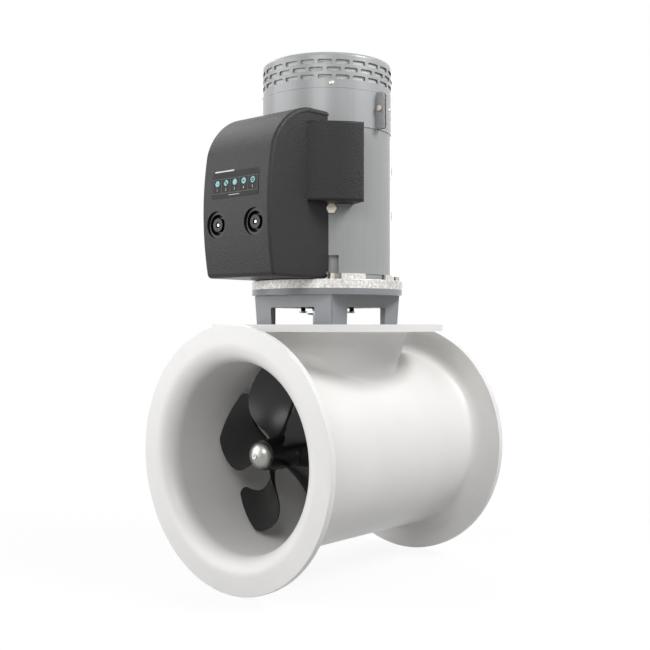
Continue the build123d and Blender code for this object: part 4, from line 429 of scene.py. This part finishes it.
# Contactors and main fuse. Their cases are moulded melamine in a warm cream. They are matt, with darker
# flecks of about 2 mm.
melamine = new_finish("cream_melamine_moulded")
place = add_node(melamine, "ShaderNodeTexCoord", {}).outputs["Object"]
flecks = add_node(melamine, "ShaderNodeTexNoise", {"Vector": place, "Scale": 600.0, "Detail": 4.0})
tint = add_node(melamine, "ShaderNodeMix", {
    0: flecks.outputs["Fac"], 6: linear("#A79F8C"), 7: linear("#C6BFAC")}, data_type="RGBA")
finish_shader(melamine, {"Base Color": tint.outputs[2], "Roughness": 0.5, "IOR": 1.5})
dress(melamine, "contactors", "main_fuse")

# Control board. It is glass-fibre laminate under green solder mask. The tracks show as slightly paler
# lines, 2 mm apart.
solder_mask = new_finish("green_solder_mask")
place = add_node(solder_mask, "ShaderNodeTexCoord", {}).outputs["Object"]
tracks = add_node(solder_mask, "ShaderNodeTexBrick", {
    "Vector": place, "Scale": 120.0, "Color1": linear("#12482A"), "Color2": linear("#165632"),
    "Mortar": linear("#2C7A4B")})
finish_shader(solder_mask, {"Base Color": tracks.outputs["Color"], "Roughness": 0.3, "IOR": 1.5})
dress(solder_mask, "control_board")

# Label on the control cover. It is a dark polyester film, cut to rounded corners and stuck to the curved
# front panel, smoother than the grain around it, with smudges of about 17 mm. It carries plain discs,
# lines and single digits only.
panel_middle_x = -0.2165
panel_middle_z = 0.38025
panel_curve_r = 0.4926
label_middle_y = 0.0005
label_middle_z = 0.43075
label_width = 0.105
label_height = 0.0515
label_corner_r = 0.0025
corner_steps = 5
film_half_rows = 6
film_row_pitch = 0.0031
film_half_columns = 4
film_lift = 0.0003
film_thickness = 0.0005


def panel_point(across, up, lift):
    """A point on the cover's curved front: across to the reader's right and up from the label's middle."""
    z = label_middle_z + up
    fall = panel_curve_r - math.sqrt(panel_curve_r ** 2 - (z - panel_middle_z) ** 2)
    return (panel_middle_x + fall - lift, label_middle_y - across, z)


def stick_on_cover(name, shape, finish):
    """Makes a piece of a thin shape that is already laid on the cover, and lets it ride on the housing."""
    piece = bpy.data.objects.new(name, shape)
    bpy.context.scene.collection.objects.link(piece)
    shape.materials.append(finish)
    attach(piece, "housing")
    return piece


def stuck_on_panel(name, rows, lift, finish):
    """A thin shape on the panel, from rows of points that are joined to the next row."""
    width = len(rows[0])
    points = [panel_point(across, up, lift) for row in rows for across, up in row]
    faces = [
        (row * width + step, row * width + step + 1, (row + 1) * width + step + 1, (row + 1) * width + step)
        for row in range(len(rows) - 1) for step in range(width - 1)]
    shape = bpy.data.meshes.new(name)
    shape.from_pydata(points, [], faces)
    return stick_on_cover(name, shape, finish)


def corner_inset(up):
    """How far the film's side draws in at its rounded corners, at a height above its middle."""
    past = max(0.0, abs(up) - (label_height / 2 - label_corner_r))
    return label_corner_r - math.sqrt(max(0.0, label_corner_r ** 2 - past ** 2))


film = new_finish("dark_polyester_film")
place = add_node(film, "ShaderNodeTexCoord", {}).outputs["Object"]
smudges = add_node(film, "ShaderNodeTexNoise", {"Vector": place, "Scale": 60.0, "Detail": 3.0})
shine = add_node(film, "ShaderNodeMapRange", {
    "Value": smudges.outputs["Fac"], "To Min": 0.5, "To Max": 0.6})
tint = add_node(film, "ShaderNodeMix", {
    0: smudges.outputs["Fac"], 6: linear("#1D1D1C"), 7: linear("#222221")}, data_type="RGBA")
finish_shader(film, {
    "Base Color": tint.outputs[2], "Roughness": shine.outputs["Result"], "IOR": 1.5,
    "Specular IOR Level": 0.2})

corner_heights = [label_corner_r * (step / corner_steps) ** 2 for step in range(corner_steps + 1)]
film_heights = [-label_height / 2 + height for height in corner_heights]
film_heights += [film_row_pitch * step for step in range(-film_half_rows, film_half_rows + 1)]
film_heights += [label_height / 2 - height for height in reversed(corner_heights)]
film_rows = []
for up in film_heights:
    half_width = label_width / 2 - corner_inset(up)
    film_rows.append([
        (half_width * step / film_half_columns, up)
        for step in range(-film_half_columns, film_half_columns + 1)])
label_film = stuck_on_panel("label_film", film_rows, film_lift, film)
film_depth = label_film.modifiers.new("film_depth", "SOLIDIFY")
film_depth.thickness = film_thickness
film_depth.offset = 1.0

# Print on the label. It is screen-printed ink in three colours, flat and matt, on the film's face. The
# screen's mesh leaves it a little thinner in spots of about 1 mm. A slash in the film's own finish crosses
# the second disc.
ink_gap = 0.00015
overprint_gap = 0.0001
print_lift = film_lift + film_thickness + ink_gap
cell_count = 5
cell_pitch = 0.0198
cell_top = 0.0045
cell_bottom = -0.018
line_width = 0.0005
line_steps = 8
disc_r = 0.0047
disc_up = -0.0022
disc_hole_rs = (0.0009, 0.0, 0.0, 0.0016, 0.0028)
ring_steps = 32
slash_half = 0.0034
slash_width = 0.0018
dot_r = 0.0012
head_rule_ends = ((-0.047, 0.0165), (-0.004, 0.0165))
head_rule_width = 0.0022
foot_rule_ends = ((-0.012, -0.0215), (0.011, -0.0215))
foot_rule_width = 0.0009


def screen_ink(name, thin_colour, full_colour):
    """A matt ink in two close shades, for where it is thin and where it is full."""
    ink = new_finish(name)
    place = add_node(ink, "ShaderNodeTexCoord", {}).outputs["Object"]
    coverage = add_node(ink, "ShaderNodeTexNoise", {"Vector": place, "Scale": 900.0, "Detail": 2.0})
    tint = add_node(ink, "ShaderNodeMix", {
        0: coverage.outputs["Fac"], 6: linear(thin_colour), 7: linear(full_colour)}, data_type="RGBA")
    finish_shader(ink, {"Base Color": tint.outputs[2], "Roughness": 0.6, "Specular IOR Level": 0.3})
    return ink


def printed_line(name, start, end, width, lift, finish):
    """A printed line, in short lengths so that it follows the panel's curve."""
    run = (end[0] - start[0], end[1] - start[1])
    length = math.hypot(*run)
    side = (-run[1] / length * width / 2, run[0] / length * width / 2)
    rows = []
    for step in range(line_steps + 1):
        across = start[0] + run[0] * step / line_steps
        up = start[1] + run[1] * step / line_steps
        rows.append([(across - side[0], up - side[1]), (across + side[0], up + side[1])])
    stuck_on_panel(name, rows, lift, finish)


def printed_ring(name, across, up, outer_r, inner_r, finish):
    """A printed ring, or a disc when its inner radius is nothing."""
    rows = []
    for step in range(ring_steps + 1):
        turn = step * math.tau / ring_steps
        rows.append([
            (across + radius * math.cos(turn), up + radius * math.sin(turn))
            for radius in (inner_r, outer_r)])
    stuck_on_panel(name, rows, print_lift, finish)


line_ink = screen_ink("grey_screen_ink", "#6A6966", "#827F7B")
white_ink = screen_ink("white_screen_ink", "#C9C8C3", "#E6E5E0")
pale_ink = screen_ink("pale_blue_screen_ink", "#86B9C0", "#9BCFD6")
frame_half = cell_count / 2 * cell_pitch
cell_middles = [(number - (cell_count - 1) / 2) * cell_pitch for number in range(cell_count)]
for level, up in (("top", cell_top), ("bottom", cell_bottom)):
    ends = ((-frame_half, up), (frame_half, up))
    printed_line("label_line_" + level, *ends, line_width, print_lift, line_ink)
for number in range(cell_count + 1):
    across = -frame_half + number * cell_pitch
    ends = ((across, cell_bottom), (across, cell_top))
    printed_line("label_divider_%d" % number, *ends, line_width, print_lift, line_ink)
for number, (across, hole_r) in enumerate(zip(cell_middles, disc_hole_rs)):
    printed_ring("label_disc_%d" % (number + 1), across, disc_up, disc_r, hole_r, pale_ink)
slash_middle = cell_middles[1]
dot_middle = cell_middles[4]
slash_start = (slash_middle - slash_half, disc_up + slash_half)
slash_end = (slash_middle + slash_half, disc_up - slash_half)
printed_line("label_slash", slash_start, slash_end, slash_width, print_lift + overprint_gap, film)
printed_ring("label_dot", dot_middle, disc_up, dot_r, 0.0, pale_ink)
printed_line("label_rule_head", *head_rule_ends, head_rule_width, print_lift, white_ink)
printed_line("label_rule_foot", *foot_rule_ends, foot_rule_width, print_lift, white_ink)

# Digits on the label. One stands under each disc, in the same white ink as the rules. Each is set as flat
# type and then laid on the panel's curve point by point.
digit_size = 0.006
digit_up = -0.0145
digit_curve_steps = 3
for number, across in enumerate(cell_middles):
    name = "label_digit_%d" % (number + 1)
    written = bpy.data.curves.new(name, "FONT")
    written.body = str(number + 1)
    written.size = digit_size
    written.align_x = "CENTER"
    written.resolution_u = digit_curve_steps
    carrier = bpy.data.objects.new("digit_outline", written)
    bpy.context.scene.collection.objects.link(carrier)
    bpy.context.view_layer.update()
    digit_mesh = bpy.data.meshes.new_from_object(carrier)
    bpy.data.objects.remove(carrier)
    for point in digit_mesh.vertices:
        point.co = panel_point(across + point.co.x, digit_up + point.co.y, print_lift)
    digit_mesh.materials.clear()
    stick_on_cover(name, digit_mesh, white_ink)

# Studio floor. It is a white paper sweep, which reads white to the camera and in reflections and keeps a
# faint shadow under the tunnel. It only throws back as much light as light grey card, so that undersides
# stay dark.
shadow_r = 0.5
shadow_white_share = 0.9
white_r = 1.6
floor_reach = 14.0


def looked_at(owner):
    """Whether a ray comes from the camera, a reflection or a clear piece, which all see the studio white."""
    path = add_node(owner, "ShaderNodeLightPath", {})
    seen_or_mirrored = add_node(owner, "ShaderNodeMath", {
        0: path.outputs["Is Camera Ray"], 1: path.outputs["Is Glossy Ray"]}, operation="MAXIMUM")
    return add_node(owner, "ShaderNodeMath", {
        0: seen_or_mirrored.outputs["Value"], 1: path.outputs["Is Transmission Ray"]}, operation="MAXIMUM")


paper_sweep = new_finish("white_paper_sweep")
place = add_node(paper_sweep, "ShaderNodeTexCoord", {}).outputs["Object"]
from_middle = add_node(paper_sweep, "ShaderNodeVectorMath", {0: place}, operation="LENGTH")
white_share = add_node(paper_sweep, "ShaderNodeMapRange", {
    "Value": from_middle.outputs["Value"], "From Min": shadow_r, "From Max": white_r,
    "To Min": shadow_white_share, "To Max": 1.0})
paper = add_node(paper_sweep, "ShaderNodeBsdfDiffuse", {"Color": linear("#F7F7F7")})
glow = add_node(paper_sweep, "ShaderNodeEmission", {"Color": linear("#FFFFFF"), "Strength": 1.0})
white_paper = add_node(paper_sweep, "ShaderNodeMixShader", {
    0: white_share.outputs["Result"], 1: paper.outputs["BSDF"], 2: glow.outputs["Emission"]})
grey_card = add_node(paper_sweep, "ShaderNodeBsdfDiffuse", {"Color": linear("#B0B0B0")})
floor_light = add_node(paper_sweep, "ShaderNodeMixShader", {
    0: looked_at(paper_sweep).outputs["Value"], 1: grey_card.outputs["BSDF"],
    2: white_paper.outputs["Shader"]})
add_node(paper_sweep, "ShaderNodeOutputMaterial", {"Surface": floor_light.outputs["Shader"]})

floor_z = solid_box[0][2]
floor_corners = [
    (-floor_reach, -floor_reach, floor_z), (floor_reach, -floor_reach, floor_z),
    (floor_reach, floor_reach, floor_z), (-floor_reach, floor_reach, floor_z)]
floor_mesh = bpy.data.meshes.new("floor")
floor_mesh.from_pydata(floor_corners, [], [(0, 1, 2, 3)])
floor_mesh.materials.append(paper_sweep)
floor = bpy.data.objects.new("floor", floor_mesh)
bpy.context.scene.collection.objects.link(floor)

# Studio room. It is a white backdrop all round, at full white where it is looked at and dim where it
# lights the object.
room_light_on_object = 0.11
room_white = 1.0
world = bpy.data.worlds.new("studio")
bpy.context.scene.world = world
world.use_nodes = True
world.node_tree.nodes.clear()
room_light = add_node(world, "ShaderNodeMix", {
    0: looked_at(world).outputs["Value"], 2: room_light_on_object, 3: room_white}, data_type="FLOAT")
room = add_node(world, "ShaderNodeBackground", {
    "Color": linear("#FFFFFF"), "Strength": room_light.outputs[0]})
add_node(world, "ShaderNodeOutputWorld", {"Surface": room.outputs["Background"]})

# Lamps. They are five square soft boxes: the main one high on the near right, a wide one on the left, a
# weak one on the camera's side that reaches into the mouth, and two behind, for the back with the rear
# mouth and for the cover's sloping brow.
deck_middle = (0.0, 0.0, 0.2)
cover_foot_level = (0.0, 0.0, 0.3)


def soft_box(name, place, target, side, watts):
    """A square lamp with a side in metres that faces a point."""
    lamp = bpy.data.lights.new(name, "AREA")
    lamp.shape = "SQUARE"
    lamp.size = side
    lamp.energy = watts
    holder = bpy.data.objects.new(name, lamp)
    bpy.context.scene.collection.objects.link(holder)
    holder.location = place
    aim = mathutils.Vector(target) - mathutils.Vector(place)
    holder.rotation_euler = aim.to_track_quat("-Z", "Y").to_euler()


soft_box("right_softbox", (0.5, -1.7, 1.7), deck_middle, side=0.8, watts=46.0)
soft_box("left_softbox", (-1.75, 1.35, 0.85), deck_middle, side=2.0, watts=38.0)
soft_box("camera_side_softbox", (-1.5, -0.8, 1.0), deck_middle, side=0.8, watts=11.0)
soft_box("rear_softbox", (1.6, 1.2, 0.6), deck_middle, side=1.5, watts=24.0)
soft_box("brow_softbox", (0.0, 1.6, 1.95), cover_foot_level, side=0.9, watts=10.0)

# Camera. It stands off the front mouth, level with the deck's top, and looks level at the motor's axis.
# Its place, turn and lens are fitted to the photograph.
camera_place = (-1.2392, -1.0979, 0.2072)
camera_turn = -48.32
lens = bpy.data.cameras.new("camera")
lens.lens = 53.61
lens.sensor_width = 36.0
lens.clip_end = 60.0
camera = bpy.data.objects.new("camera", lens)
bpy.context.scene.collection.objects.link(camera)
camera.location = camera_place
camera.rotation_euler = (math.pi / 2, 0.0, math.radians(camera_turn))
bpy.context.scene.camera = camera
bpy.context.scene.view_settings.view_transform = "Standard"
